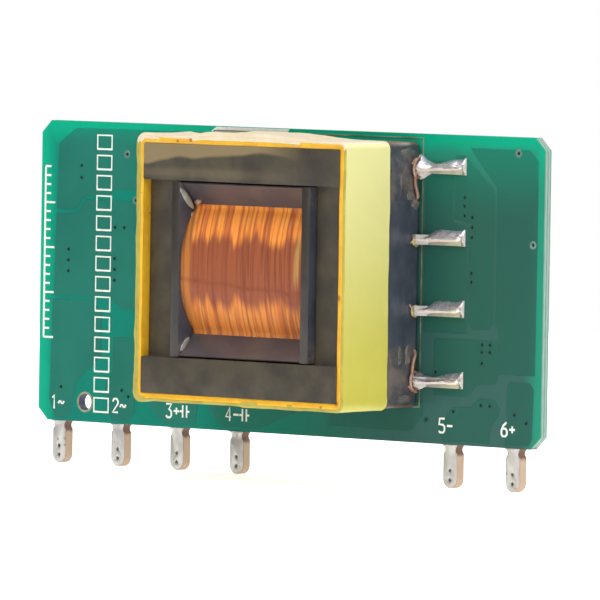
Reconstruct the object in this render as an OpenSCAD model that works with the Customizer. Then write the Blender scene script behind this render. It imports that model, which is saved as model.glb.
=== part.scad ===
// Open frame AC-DC converter module that stands on six board terminals.
// X runs along the board, the transformer is on the -Y face, Z is up.
// The origin is the middle of the lower board edge, half way through the board.

/* [Board] */
// Width of the circuit board
board_w = 52.7; // [52:0.1:56]
// Height of the circuit board above its seating edge
board_h = 25; // [24.9:0.1:28]
// Thickness of the bare board
board_t = 0.8; // [0.6:0.1:1.6]
// Size of the cut on each board corner
corner_cut = 1; // [0.4:0.1:1.4]
// Diameter of the locating hole
hole_d = 1.4; // [1:0.1:1.6]
// Diameter of a via
via_d = 0.3; // [0.2:0.05:0.4]

/* [Terminals] */
// Pitch of the board terminals
terminal_pitch = 6.35; // [6:0.05:6.4]
// Gap between the input and the output terminals, in pitches
output_gap = 3.5; // [3.4:0.1:3.5]
// Width of one terminal
terminal_w = 1.46; // [1.3:0.02:1.7]
// Length of one terminal below the seating edge
terminal_len = 3.5; // [3.2:0.1:4.2]
// Radius of the relief beside each terminal
relief_r = 0.4; // [0.3:0.05:0.5]
// How far the relief bites into the terminal
relief_bite = 0.15; // [0.05:0.05:0.2]
// Thickness of the tinned skin on a terminal
plating_t = 0.08; // [0.05:0.01:0.12]

/* [Transformer] */
// Middle of the transformer, from the middle of the board
coil_x = 2.95; // [2:0.05:3.2]
// Middle of the transformer, above the seating edge
coil_z = 13.6; // [13.2:0.05:13.9]
// Outer size of the square core
core_size = 20.4; // [20:0.1:20.6]
// Depth of the core
core_d = 5.9; // [5.7:0.1:6.2]
// Height of each outer bar of the core
bar_h = 3; // [2.8:0.1:3.1]
// Width of each yoke of the core
yoke_w = 3; // [2.8:0.1:3]
// How far the yokes sit behind the front of the bars
yoke_recess = 1; // [0.6:0.1:1.2]
// Height of the centre leg
leg_h = 6.2; // [5.8:0.1:6.2]
// Depth of the centre leg
leg_d = 2.6; // [2.4:0.1:2.6]
// Distance from the board to the back of the core
core_lift = 3.95; // [3.8:0.05:4.4]
// Thickness of the yellow belt round the core
belt_t = 0.6; // [0.3:0.05:0.7]
// Number of turns in the outer layer of the coil
coil_turns = 18; // [12:1:22]

/* [Transformer pins] */
// Pitch of the transformer pins
pin_pitch = 5.75; // [5.5:0.05:5.8]
// How far a pin reaches past its terminal block
pin_reach = 4.65; // [4.2:0.05:5]
// Width of a pin
pin_w = 0.8; // [0.6:0.05:0.9]
// Thickness of a pin
pin_t = 0.5; // [0.4:0.05:0.6]

/* [Parts on the back] */
// Length and width of a large chip part
chip_large = 3.2; // [3:0.1:3.3]
// Length of a small chip part
chip_small = 1.6; // [1.5:0.1:1.7]
// Thickness of a package lead
lead_t = 0.2; // [0.15:0.05:0.25]

/* [Hidden] */
$fn = 48;

// board
front_y = -board_t / 2;
back_y = board_t / 2;
hole_at = [-21.3, 1.65];
terminal_x0 = -24;
terminal_steps = [0, 1, 2, 3, 3 + output_gap, 4 + output_gap];
plating_inset = 0.05;
barrel_wall = 0.08;
terminal_via_z = [-2.1, -2.85];

// vias, as x and z on the board
input_vias = [
    [-22, 21.3], [-22, 20.3], [-17.1, 22.4], [-16.1, 18.6], [-18.3, 16.3], [-17.3, 16.3],
    [-23.3, 14.3], [-23.3, 13.4], [-23.3, 12.5], [-18.3, 13.7], [-18.3, 12.8],
    [-18.3, 11.9], [-23.9, 2.8], [-17.3, 2.8], [-16.6, 2.3]
];
output_vias = [
    [23.7, 23.7], [25.3, 16.4], [18.3, 20], [18.3, 19.3], [18.3, 18.5], [19.1, 18.4],
    [19.1, 17.6], [19.1, 16.8], [19.1, 13.9], [19.1, 13.2], [20.3, 8.2], [21.1, 8.2],
    [20.3, 7.6], [21.1, 7.6], [20.3, 6.7], [15.6, 5.8], [20.3, 3.3], [21.2, 3.3],
    [17.5, 2.7], [14.7, 1.9], [23.7, 2.7], [24.9, 2.1]
];

// transformer, in its own frame: middle of the board footprint, -Y is outwards
half_core = core_size / 2;
core_front = core_lift + core_d;
window_h = core_size - 2 * bar_h;
core_gap = 0.2;
core_edge_r = 0.4;
leg_mid = 6.4;
leg_edge_r = 0.4;
tube_wall = 0.5;
flange_in = 6.35;
flange_t = 0.8;
flange_gap = 0.1;
flange_front = core_front - 0.1;
block_in = flange_in + flange_t;
block_out = half_core + belt_t;
block_h = 21.5;
block_gap = 0.3;
block_edge_r = 0.5;
foot_d = 1.6;
pin_exit = 0.7;
pin_root = 2.4;
pin_bend = 1;
pin_slope = 0.3;
pin_lift = 0.05;
pin_rows = [1.5, 0.5, -0.5, -1.5];

// coil layers: half depth at the crown, half height of the barrel, radius of its ends
inner_layer = [2.55, 5.75, 0.9];
wrap_layer = [2.65, 5.85, 0.95];
outer_layer = [3.1, 6.3, 1.3];
tape_layer = [3.2, 6.4, 1.4];
tape_skirt_front = 3.1;
tape_skirt_back = 1.2;
tape_skirt_root = 1.3;
tape_skirt_foot = 5.5;
tape_skirt_gap = 0.15;
coil_l = 2 * flange_in;
turn_groove = 0.12;
tape_groove = 0.06;

// solder on a pin: its pad, the foot of its fillets, and the cone over a wire wrap
pad_w = 1.66;
pad_l = 3.1;
pad_foot_t = 0.08;
cone_l = 1.25;
cone_root_r = 0.8;
cone_tip_r = 0.5;

// coil ends on the outer face of the right terminal block
wire_r = 0.2;
wire_run = 1.5;
wire_bend_r = 0.35;
wire_lift = 1.35;
wire_root = 1.5;

// parts on the back: place of the middle as x and z, then length, width and height
chip_cap = 0.5;
chip_skin = 0.03;
body_lift = 0.1;
low_lift = 0.05;
draft = 0.12;
so_pitch = 1.27;
bridge_at = [-20.6, 6.2];
bridge_size = [4.2, 4.7, 1.5];
controller_at = [-20.9, 12.9];
controller_size = [3.9, 4.9, 1.45];
transistor_at = [-19.8, 20.2];
transistor_size = [6.1, 6.5, 2];
spreader_size = [6.2, 5.4, 0.3];
spreader_x = -4.2;
clamp_diode_at = [-10.4, 20.8];
clamp_diode_size = [4.3, 2.6, 2];
supply_diode_at = [-13.4, 9.4];
supply_diode_size = [2.7, 1.6, 1.05];
rectifier_at = [20.2, 20];
rectifier_size = [6.9, 5.9, 2.2];
optocoupler_at = [3.2, 5.2];
optocoupler_size = [7.5, 4.5, 2.1];
shunt_at = [12.6, 6.4];
shunt_size = [1.4, 2.9, 0.95];
fuse_at = [-13.6, 4.3];
fuse_size = [6.1, 2.5, 2];
noise_capacitor_at = [3.2, 21];
noise_capacitor_size = [4.5, 3.2, 2];
resistor_size = [chip_large, chip_large / 2, 0.6];
snubber_capacitor_size = [chip_large, chip_large / 2, 1.25];
supply_capacitor_size = [chip_large, chip_large / 2, 1.6];
output_capacitor_size = [chip_large, 2.5, 2.3];
loop_capacitor_size = [chip_small, chip_small / 2, 0.8];
feedback_size = [chip_small, chip_small / 2, 0.45];

module rounded_rect(w, h, r) {
    square([w - 2 * r, h], center = true);
    square([w, h - 2 * r], center = true);
    for (sx = [-1, 1], sy = [-1, 1])
        translate([sx * (w / 2 - r), sy * (h / 2 - r)]) circle(r);
}

// a plate drawn as x, z and given a depth from y0 towards +Y
module plate_xz(y0, depth) {
    translate([0, y0 + depth, 0]) rotate([90, 0, 0]) linear_extrude(depth) children();
}

// a bar drawn as y, z and run along X, centred on x = 0
module bar_yz(length) {
    rotate([90, 0, 90]) linear_extrude(length, center = true) children();
}

// board

module terminal_outline(inset) {
    half = terminal_w / 2 - inset;
    end_z = -terminal_len + terminal_w / 2;
    difference() {
        union() {
            translate([-half, end_z]) square([2 * half, -end_z]);
            translate([0, end_z]) circle(half);
        }
        terminal_reliefs(relief_r + inset);
    }
}

module terminal_reliefs(r) {
    for (side = [-1, 1])
        translate([side * (terminal_w / 2 - relief_bite + relief_r), -relief_r]) circle(r);
}

// the board between a terminal and its two reliefs
module terminal_shoulders() {
    reach = terminal_w / 2 - relief_bite + relief_r;
    difference() {
        translate([-reach, -relief_r]) square([2 * reach, relief_r + 0.1]);
        terminal_reliefs(relief_r);
    }
}

module board_outline() {
    w = board_w / 2;
    c = corner_cut;
    polygon([
        [-w + c, 0], [w - c, 0], [w, c], [w, board_h - c],
        [w - c, board_h], [-w + c, board_h], [-w, board_h - c], [-w, c]
    ]);
    for (step = terminal_steps) translate([terminal_x(step), 0]) {
        terminal_outline(0);
        terminal_shoulders();
    }
}

function terminal_x(step) = terminal_x0 + step * terminal_pitch;

module circuit_board() {
    color("seagreen") plate_xz(front_y, board_t) difference() {
        board_outline();
        translate(hole_at) circle(d = hole_d);
        for (at = concat(input_vias, output_vias)) translate(at) circle(d = via_d, $fn = 16);
        for (step = terminal_steps, z = terminal_via_z)
            translate([terminal_x(step), z]) circle(via_d / 2 + barrel_wall);
    }
}

// tinned skin on both faces of one terminal, joined through its two vias
module terminal(step) {
    color("gainsboro") translate([terminal_x(step), 0, 0]) difference() {
        union() {
            for (y0 = [front_y - plating_t, back_y])
                plate_xz(y0, plating_t) terminal_face();
            for (z = terminal_via_z)
                plate_xz(front_y, board_t) translate([0, z]) circle(via_d / 2 + barrel_wall);
        }
        for (z = terminal_via_z)
            plate_xz(front_y - 1, board_t + 2) translate([0, z]) circle(via_d / 2);
    }
}

module terminal_face() {
    terminal_outline(plating_inset);
}

// transformer

module transformer_place() {
    translate([coil_x, front_y, coil_z]) children();
}

module core_half(side) {
    mid = (core_front + core_lift) / 2;
    transformer_place() mirror([side < 0 ? 1 : 0, 0, 0]) color("dimgray") {
        for (end = [-1, 1]) translate([half_core / 2, -mid, end * (half_core - bar_h / 2)])
            cube([half_core, core_d, bar_h], center = true);
        translate([half_core - yoke_w, -core_front + yoke_recess, -half_core + bar_h])
            cube([yoke_w, core_d - yoke_recess, window_h]);
        translate([(half_core - yoke_w + core_gap) / 2, -leg_mid, 0])
            bar_yz(half_core - yoke_w - core_gap) rounded_rect(leg_d, leg_h, leg_edge_r);
    }
}

module core_left() {
    core_half(-1);
}

module core_right() {
    core_half(1);
}

module bobbin() {
    transformer_place() color("#2b2d33") {
        translate([0, -leg_mid, 0]) bar_yz(2 * block_in) difference() {
            tube_section();
            rounded_rect(leg_d, leg_h, leg_edge_r);
        }
        for (side = [0, 1]) mirror([side, 0, 0]) {
            bobbin_flange();
            terminal_block();
        }
    }
}

module tube_section() {
    rounded_rect(leg_d + 2 * tube_wall, leg_h + 2 * tube_wall, leg_edge_r + tube_wall);
}

module bobbin_flange() {
    flange_h = window_h - 2 * flange_gap;
    difference() {
        translate([flange_in, -flange_front, -flange_h / 2])
            cube([flange_t, flange_front - block_gap, flange_h]);
        translate([flange_in + flange_t / 2, -leg_mid, 0])
            bar_yz(2 * flange_t) rounded_rect(leg_d, leg_h, leg_edge_r);
    }
}

module terminal_block() {
    block_w = block_out - block_in;
    difference() {
        union() {
            translate([block_in + block_w / 2, 0, 0]) plate_xz(-core_lift, core_lift - block_gap)
                rounded_rect(block_w, block_h, block_edge_r);
            for (end = [-1, 1])
                translate([block_in + block_w / 2, 0, end * (block_h / 2 - foot_d)])
                    plate_xz(-block_gap, block_gap) circle(d = foot_d);
        }
        for (row = pin_rows)
            translate([block_out - pin_root, -pin_exit - pin_t / 2, row * pin_pitch - pin_w / 2])
                cube([pin_root + 1, pin_t, pin_w]);
        for (end = [0, 1]) mirror([0, 0, end]) lead_wire_root();
    }
}

// section of a barrel shaped layer: two shallow arcs with round ends, as y and z
module barrel_section(layer) {
    depth = layer[0];
    height = layer[1] - layer[2];
    sag = depth - layer[2];
    r = (height * height + sag * sag) / (2 * sag);
    intersection() {
        translate([r - depth, 0]) circle(r, $fn = 120);
        translate([depth - r, 0]) circle(r, $fn = 120);
        square([2 * depth, 2 * height], center = true);
    }
    for (end = [-1, 1]) translate([0, end * height]) circle(layer[2]);
}

module coil_layer(length, outer, inner) {
    translate([0, -leg_mid, 0]) bar_yz(length) difference() {
        barrel_section(outer);
        barrel_section(inner);
    }
}

module secondary_winding() {
    transformer_place() color("#b5652c") translate([0, -leg_mid, 0]) bar_yz(coil_l) difference() {
        barrel_section(inner_layer);
        tube_section();
    }
}

module winding_insulation() {
    transformer_place() color("khaki") coil_layer(coil_l, wrap_layer, inner_layer);
}

// a layer whose outside has one rib for each turn, with a groove on both sides of it
module ribbed_layer(outer, groove) {
    pitch = coil_l / coil_turns;
    root = [outer[0] - groove, outer[1] - groove, outer[2] - groove];
    bar_yz(coil_l) barrel_section(root);
    for (turn = [0 : coil_turns - 1]) translate([(turn + 0.5) * pitch - coil_l / 2, 0, 0])
        bar_yz(pitch / 2) barrel_section(outer);
}

module primary_winding() {
    transformer_place() color("#e8862f") translate([0, -leg_mid, 0]) difference() {
        ribbed_layer(outer_layer, turn_groove);
        bar_yz(coil_l + 1) barrel_section(wrap_layer);
    }
}

// section of the skirt above the coil: it slopes out to the front edge of the core bar
module skirt_section() {
    top = window_h / 2 - tape_skirt_gap;
    shoulder = tape_layer[1] - tape_layer[2];
    polygon([
        [-tape_skirt_front, top], [tape_skirt_back, top], [tape_skirt_back, shoulder],
        [-tape_layer[2] / 2, shoulder], [-tape_skirt_root, tape_skirt_foot]
    ]);
}

// the tape follows the coil and is drawn out to the two bars of the core
module coil_tape() {
    transformer_place() color("#d58a3a") translate([0, -leg_mid, 0]) difference() {
        union() {
            ribbed_layer(tape_layer, tape_groove);
            for (end = [0, 1]) bar_yz(coil_l) mirror([0, end]) skirt_section();
        }
        ribbed_layer(outer_layer, turn_groove);
    }
}

module core_tape() {
    outer = core_size + 2 * belt_t;
    transformer_place() color("khaki") plate_xz(-core_front, core_d) difference() {
        rounded_rect(outer, outer, belt_t + core_edge_r);
        square(core_size, center = true);
    }
}

// a pin drawn as x and distance from the board, then given its width
module pin_shape() {
    top = pin_lift + pin_t;
    out = block_out + pin_bend;
    end = block_out + pin_reach;
    y0 = pin_exit - pin_t / 2;
    y1 = pin_exit + pin_t / 2;
    polygon([
        [block_out - pin_root, -y0], [block_out - pin_root, -y1],
        [block_out + pin_slope, -y1], [out + pin_slope, -top], [end, -top],
        [end, -pin_lift], [out, -pin_lift], [block_out, -y0]
    ]);
}

// rows 1 to 4 are on the right from the top, rows 5 to 8 on the left from the top
module transformer_pin(number) {
    row = pin_rows[(number - 1) % 4];
    transformer_place() mirror([number > 4 ? 1 : 0, 0, 0]) color("silver")
        translate([0, 0, row * pin_pitch - pin_w / 2]) linear_extrude(pin_w) pin_shape();
}

// solder round one pin on its pad: concave sides up to the top of the pin
module solder_pad(row) {
    fillet_r = (pad_w - pin_w) / 2;
    height = pin_lift + pin_t;
    z0 = row * pin_pitch;
    difference() {
        translate([block_out + pin_reach - pad_l / 2, 0, z0]) bar_yz(pad_l) difference() {
            translate([-height, -pad_w / 2]) square([height, pad_w]);
            for (side = [-1, 1]) translate([-fillet_r - pad_foot_t, side * pad_w / 2]) {
                circle(fillet_r);
                translate([-height, -fillet_r]) square([height, 2 * fillet_r]);
            }
        }
        translate([0, 0, z0 - pin_w / 2]) linear_extrude(pin_w) pin_shape();
    }
}

// solder that has run up the wire wraps of the upper end pin
module solder_cone() {
    z0 = pin_rows[0] * pin_pitch;
    difference() {
        translate([block_out, -cone_root_r, z0]) rotate([0, 90, 0])
            cylinder(h = cone_l, r1 = cone_root_r, r2 = cone_tip_r);
        translate([0, 0, z0 - pin_w / 2]) linear_extrude(pin_w) pin_shape();
        lead_wire_route();
    }
}

module solder_right() {
    transformer_place() color("whitesmoke") {
        for (row = pin_rows) solder_pad(row);
        for (end = [0, 1]) mirror([0, 0, end]) solder_cone();
    }
}

module solder_left() {
    transformer_place() mirror([1, 0, 0]) color("whitesmoke")
        for (row = pin_rows) solder_pad(row);
}

// where a coil end comes out of the block, below the upper end pin
module lead_wire_root() {
    translate([block_out - wire_root, -wire_lift, wire_z() - wire_bend_r - wire_run])
        rotate([0, 90, 0]) cylinder(h = wire_root + wire_r, r = wire_r);
}

// coil end that runs along the block and turns in to the upper end pin
module lead_wire_route() {
    x0 = block_out + wire_r;
    lead_wire_root();
    translate([x0, -wire_lift, wire_z() - wire_bend_r - wire_run]) {
        sphere(wire_r);
        cylinder(h = wire_run, r = wire_r);
    }
    translate([x0, wire_bend_r - wire_lift, wire_z() - wire_bend_r]) rotate([0, 90, 0])
        rotate([0, 0, 180]) rotate_extrude(angle = 90) translate([wire_bend_r, 0]) circle(wire_r);
    translate([x0, wire_bend_r - wire_lift, wire_z()]) rotate([-90, 0, 0])
        cylinder(h = wire_lift - wire_bend_r - pin_exit - pin_t / 2, r = wire_r);
}

function wire_z() = pin_rows[0] * pin_pitch - wire_r;

module lead_wire_upper() {
    transformer_place() color("#b06a3a") lead_wire_route();
}

module lead_wire_lower() {
    transformer_place() mirror([0, 0, 1]) color("#b06a3a") lead_wire_route();
}

// parts on the back: drawn flat, x along the board, z away from it

module on_back(at, turn = 0) {
    translate([at[0], back_y, at[1]]) rotate([-90, 0, 0]) rotate([0, 0, turn]) children();
}

// height of the parting line of a package above the board, where its leads come out
function lead_z(size, lift) = lift + size[2] / 2;

// moulded package with drafted sides
module moulded_body(size, lift) {
    translate([0, 0, lift]) intersection() {
        rotate([90, 0, 0]) linear_extrude(size[1] + 1, center = true) body_section(size[0], size[2]);
        rotate([90, 0, 90]) linear_extrude(size[0] + 1, center = true) body_section(size[1], size[2]);
    }
}

module body_section(w, h) {
    a = w / 2;
    b = a - draft;
    z0 = h / 2 - lead_t / 2;
    z1 = h / 2 + lead_t / 2;
    polygon([[-b, 0], [-a, z0], [-a, z1], [-b, h], [b, h], [a, z1], [a, z0], [b, 0]]);
}

// gull wing lead that leaves the side of a body at height z and reaches out along X
module gull_lead(x0, z, reach, w) {
    knee = 0.25;
    slope = 0.35;
    t = lead_t;
    translate([x0, 0, 0]) rotate([90, 0, 0]) linear_extrude(w, center = true) polygon([
        [0, z - t / 2], [0, z + t / 2], [knee, z + t / 2], [knee + slope, t],
        [reach, t], [reach, 0], [knee + slope - t, 0], [knee - t / 2, z - t / 2]
    ]);
}

module gull_rows(size, lift, reach, w, rows) {
    for (side = [0, 1], y = rows) mirror([side, 0, 0]) translate([0, y, 0])
        gull_lead(size[0] / 2, lead_z(size, lift), reach, w);
}

// lead that folds down the end of a diode and under it
module folded_lead(size, lift, w) {
    foot = 1.1;
    t = lead_t;
    x0 = size[0] / 2;
    z = lead_z(size, lift);
    for (side = [0, 1]) mirror([side, 0, 0]) rotate([90, 0, 0]) linear_extrude(w, center = true)
        polygon([
            [x0, z + t / 2], [x0 + t, z + t / 2], [x0 + t, 0], [x0 - foot, 0],
            [x0 - foot, t], [x0 - draft, t], [x0, z - t / 2]
        ]);
}

module chip(size) {
    l = size[0];
    w = size[1];
    h = size[2];
    cap = min(chip_cap, l / 4);
    translate([-l / 2 + cap, -w / 2, chip_skin]) cube([l - 2 * cap, w, h - 2 * chip_skin]);
    for (side = [0, 1]) mirror([side, 0, 0])
        translate([l / 2 - cap, -w / 2 - chip_skin, 0]) cube([cap, w + 2 * chip_skin, h]);
}

module bridge_rectifier_body() {
    on_back(bridge_at) color("#26272b") moulded_body(bridge_size, body_lift);
}

module bridge_rectifier_leads() {
    on_back(bridge_at) color("silver") gull_rows(bridge_size, body_lift, 1.4, 0.7, [-so_pitch, so_pitch]);
}

module input_fuse() {
    on_back(fuse_at) color("#d9d2c0") chip(fuse_size);
}

module controller_body() {
    on_back(controller_at) color("#232428") moulded_body(controller_size, body_lift);
}

module controller_leads() {
    on_back(controller_at) color("silver")
        gull_rows(controller_size, body_lift, 1.05, 0.42, [for (lead = [0 : 3]) (lead - 1.5) * so_pitch]);
}

module transistor_body() {
    on_back(transistor_at) color("#232428") moulded_body(transistor_size, spreader_size[2]);
}

// heat spreader under the body and two leads at the other side
module transistor_leads() {
    lead_y = 2.3;
    z = lead_z(transistor_size, spreader_size[2]);
    on_back(transistor_at) color("silver") {
        translate([spreader_x, -spreader_size[1] / 2, 0]) cube(spreader_size);
        for (y = [-lead_y, lead_y]) translate([0, y, 0]) gull_lead(transistor_size[0] / 2, z, 2.4, 0.75);
    }
}

module clamp_diode_body() {
    on_back(clamp_diode_at) color("#232428") moulded_body(clamp_diode_size, lead_t);
}

module clamp_diode_leads() {
    on_back(clamp_diode_at) color("silver") folded_lead(clamp_diode_size, lead_t, 1.4);
}

module supply_diode_body() {
    on_back(supply_diode_at) color("#232428") moulded_body(supply_diode_size, low_lift);
}

module supply_diode_leads() {
    on_back(supply_diode_at) color("silver") gull_rows(supply_diode_size, low_lift, 0.85, 0.6, [0]);
}

module output_rectifier_body() {
    on_back(rectifier_at) color("#232428") moulded_body(rectifier_size, lead_t);
}

module output_rectifier_leads() {
    on_back(rectifier_at) color("silver") folded_lead(rectifier_size, lead_t, 3);
}

module optocoupler_body() {
    on_back(optocoupler_at) color("#ece9e0") moulded_body(optocoupler_size, body_lift);
}

module optocoupler_leads() {
    on_back(optocoupler_at) color("silver")
        gull_rows(optocoupler_size, body_lift, 1.35, 0.4, [-so_pitch, so_pitch]);
}

module shunt_regulator_body() {
    on_back(shunt_at) color("#232428") moulded_body(shunt_size, low_lift);
}

// two leads on one side and one on the other
module shunt_regulator_leads() {
    lead_y = 0.95;
    on_back(shunt_at) color("silver") {
        for (y = [-lead_y, lead_y]) translate([0, y, 0]) shunt_lead();
        mirror([1, 0, 0]) shunt_lead();
    }
}

module shunt_lead() {
    gull_lead(shunt_size[0] / 2, lead_z(shunt_size, low_lift), 0.7, 0.42);
}

module snubber_capacitor() {
    on_back([-10.4, 17.2]) color("#b08a62") chip(snubber_capacitor_size);
}

module supply_capacitor() {
    on_back([-13.4, 12.2]) color("#b08a62") chip(supply_capacitor_size);
}

module output_capacitor_upper() {
    on_back([19, 13.6]) color("#b08a62") chip(output_capacitor_size);
}

module output_capacitor_lower() {
    on_back([19, 10]) color("#b08a62") chip(output_capacitor_size);
}

module noise_capacitor() {
    on_back(noise_capacitor_at) color("#b08a62") chip(noise_capacitor_size);
}

module loop_capacitor() {
    on_back([16.4, 6.4], 90) color("#b08a62") chip(loop_capacitor_size);
}

module sense_resistors() {
    for (z = [9.2, 6.9]) on_back([-8.6, z]) color("#1d1e22") chip(resistor_size);
}

module start_resistors() {
    for (x = [-5.6, -3.2]) on_back([x, 13], 90) color("#1d1e22") chip(resistor_size);
}

module snubber_resistors() {
    for (z = [14.6, 12.4]) on_back([-9.2, z]) color("#1d1e22") chip(resistor_size);
}

module feedback_resistors() {
    for (z = [2.4, 3.8]) on_back([13.2, z]) color("#1d1e22") chip(feedback_size);
}

module load_resistor() {
    on_back([23.6, 11.8], 90) color("#1d1e22") chip(resistor_size);
}

circuit_board();
terminal(terminal_steps[0]);  // terminal_ac_neutral
terminal(terminal_steps[1]);  // terminal_ac_live
terminal(terminal_steps[2]);  // terminal_reservoir_positive
terminal(terminal_steps[3]);  // terminal_reservoir_negative
terminal(terminal_steps[4]);  // terminal_output_negative
terminal(terminal_steps[5]);  // terminal_output_positive
core_left();
core_right();
bobbin();
secondary_winding();
winding_insulation();
primary_winding();
coil_tape();
core_tape();
transformer_pin(1);  // transformer_pin_1
transformer_pin(2);  // transformer_pin_2
transformer_pin(3);  // transformer_pin_3
transformer_pin(4);  // transformer_pin_4
transformer_pin(5);  // transformer_pin_5
transformer_pin(6);  // transformer_pin_6
transformer_pin(7);  // transformer_pin_7
transformer_pin(8);  // transformer_pin_8
solder_right();
solder_left();
lead_wire_upper();
lead_wire_lower();
bridge_rectifier_body();
bridge_rectifier_leads();
input_fuse();
controller_body();
controller_leads();
transistor_body();
transistor_leads();
clamp_diode_body();
clamp_diode_leads();
supply_diode_body();
supply_diode_leads();
output_rectifier_body();
output_rectifier_leads();
optocoupler_body();
optocoupler_leads();
shunt_regulator_body();
shunt_regulator_leads();
snubber_capacitor();
supply_capacitor();
output_capacitor_upper();
output_capacitor_lower();
noise_capacitor();
loop_capacitor();
sense_resistors();
start_resistors();
snubber_resistors();
feedback_resistors();
load_resistor();
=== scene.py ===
"""Looks of an open frame power supply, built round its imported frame.

A board stands on six tinned terminals. A wound transformer sits on its front face and the small
parts sit on its back. Lengths are millimetres here, until a piece is finished and put in metres.
"""

import logging
import math
from dataclasses import dataclass, field
from enum import Enum
from typing import Callable, Iterable, Sequence

import bmesh
import bpy
from bmesh.types import BMesh, BMEdge, BMFace, BMVert
from mathutils import Matrix, Vector, noise

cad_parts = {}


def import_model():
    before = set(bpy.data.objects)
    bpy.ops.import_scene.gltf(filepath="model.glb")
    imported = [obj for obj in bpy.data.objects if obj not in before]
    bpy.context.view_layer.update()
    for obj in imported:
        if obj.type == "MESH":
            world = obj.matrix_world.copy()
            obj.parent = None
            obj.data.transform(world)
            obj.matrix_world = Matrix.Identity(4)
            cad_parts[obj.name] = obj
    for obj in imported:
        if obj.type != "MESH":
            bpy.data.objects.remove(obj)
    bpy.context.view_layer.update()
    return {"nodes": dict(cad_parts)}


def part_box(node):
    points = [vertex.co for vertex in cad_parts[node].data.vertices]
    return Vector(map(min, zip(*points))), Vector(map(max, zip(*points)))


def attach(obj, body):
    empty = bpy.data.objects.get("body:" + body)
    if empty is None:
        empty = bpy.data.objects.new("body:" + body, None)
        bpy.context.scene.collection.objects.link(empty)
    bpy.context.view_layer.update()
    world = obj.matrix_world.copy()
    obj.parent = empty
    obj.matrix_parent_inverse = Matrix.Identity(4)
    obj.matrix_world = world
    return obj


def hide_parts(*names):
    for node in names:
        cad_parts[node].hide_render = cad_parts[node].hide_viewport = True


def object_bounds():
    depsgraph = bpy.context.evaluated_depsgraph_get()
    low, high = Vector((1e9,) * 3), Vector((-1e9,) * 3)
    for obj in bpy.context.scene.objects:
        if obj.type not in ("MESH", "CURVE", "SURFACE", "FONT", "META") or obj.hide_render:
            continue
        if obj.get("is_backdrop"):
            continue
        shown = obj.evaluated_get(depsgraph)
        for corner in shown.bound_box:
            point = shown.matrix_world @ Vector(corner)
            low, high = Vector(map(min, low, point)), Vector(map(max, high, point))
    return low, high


MM = 0.001
BODY = "root"
log = logging.getLogger("power_supply")

Point = tuple[float, float]

CORE_AT: Point = (2.95, 13.6)  # middle of the transformer, as x and z
SHARP = 30.0  # smallest angle in degrees between two faces that is rounded
HARDNESS = 0.3  # how sharp the border of a colour patch is, from 0 to 1
SPECK_SIZE = 0.22
COAT_ROUGHNESS = 0.12
WELD = 0.002  # distance at which two vertices of a CAD node become one


class Slot(Enum):
    """Material slots."""

    BOARD = "board"
    TIN = "tin"
    FERRITE = "ferrite"
    BOBBIN = "bobbin_resin"
    COPPER = "enamelled_copper"
    AMBER = "amber_tape"
    YELLOW = "yellow_tape"
    SOLDER = "solder"
    PACKAGE = "package_resin"
    WHITE = "white_resin"
    CAPACITOR = "capacitor_ceramic"
    RESISTOR = "resistor_ceramic"


class Side(Enum):
    """Faces of the board, by the sign of their normal along Y."""

    FRONT = -1
    BACK = 1


# ---------------------------------------------------------------- finishes


def linear(code: str) -> tuple[float, float, float, float]:
    """Turn a colour such as "#40c080" into linear RGBA.

    Args:
        code: Six hex digits after a hash sign.

    Returns:
        The colour as the shaders want it.
    """
    values = [int(code[i : i + 2], 16) / 255 for i in (1, 3, 5)]
    low = 0.04045
    return (*[v / 12.92 if v <= low else ((v + 0.055) / 1.055) ** 2.4 for v in values], 1.0)


class Signal:
    """An output of a node, which plain arithmetic leads into further Math nodes."""

    def __init__(self, bench: "NodeBench", socket: bpy.types.NodeSocket) -> None:
        """Keep the output and the bench that its nodes stand on."""
        self.bench = bench
        self.socket = socket

    def __add__(self, other: object) -> "Signal":
        """Return the sum."""
        return self.bench.math("ADD", self, other)

    def __sub__(self, other: object) -> "Signal":
        """Return the difference."""
        return self.bench.math("SUBTRACT", self, other)

    def __rsub__(self, other: object) -> "Signal":
        """Return the difference from a plain number."""
        return self.bench.math("SUBTRACT", other, self)

    def __mul__(self, other: object) -> "Signal":
        """Return the product."""
        return self.bench.math("MULTIPLY", self, other)

    def __abs__(self) -> "Signal":
        """Return the value without its sign."""
        return self.bench.math("ABSOLUTE", self)

    def over(self, other: object) -> "Signal":
        """Return the larger of this and another value."""
        return self.bench.math("MAXIMUM", self, other)

    def ramp(self, start: object, end: object) -> "Signal":
        """Return 0 at start and 1 at end, with a smooth step between them."""
        inputs = {"Value": self, "From Min": start, "From Max": end}
        return self.bench.get("ShaderNodeMapRange", inputs, "Result", interpolation_type="SMOOTHSTEP")


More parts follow.
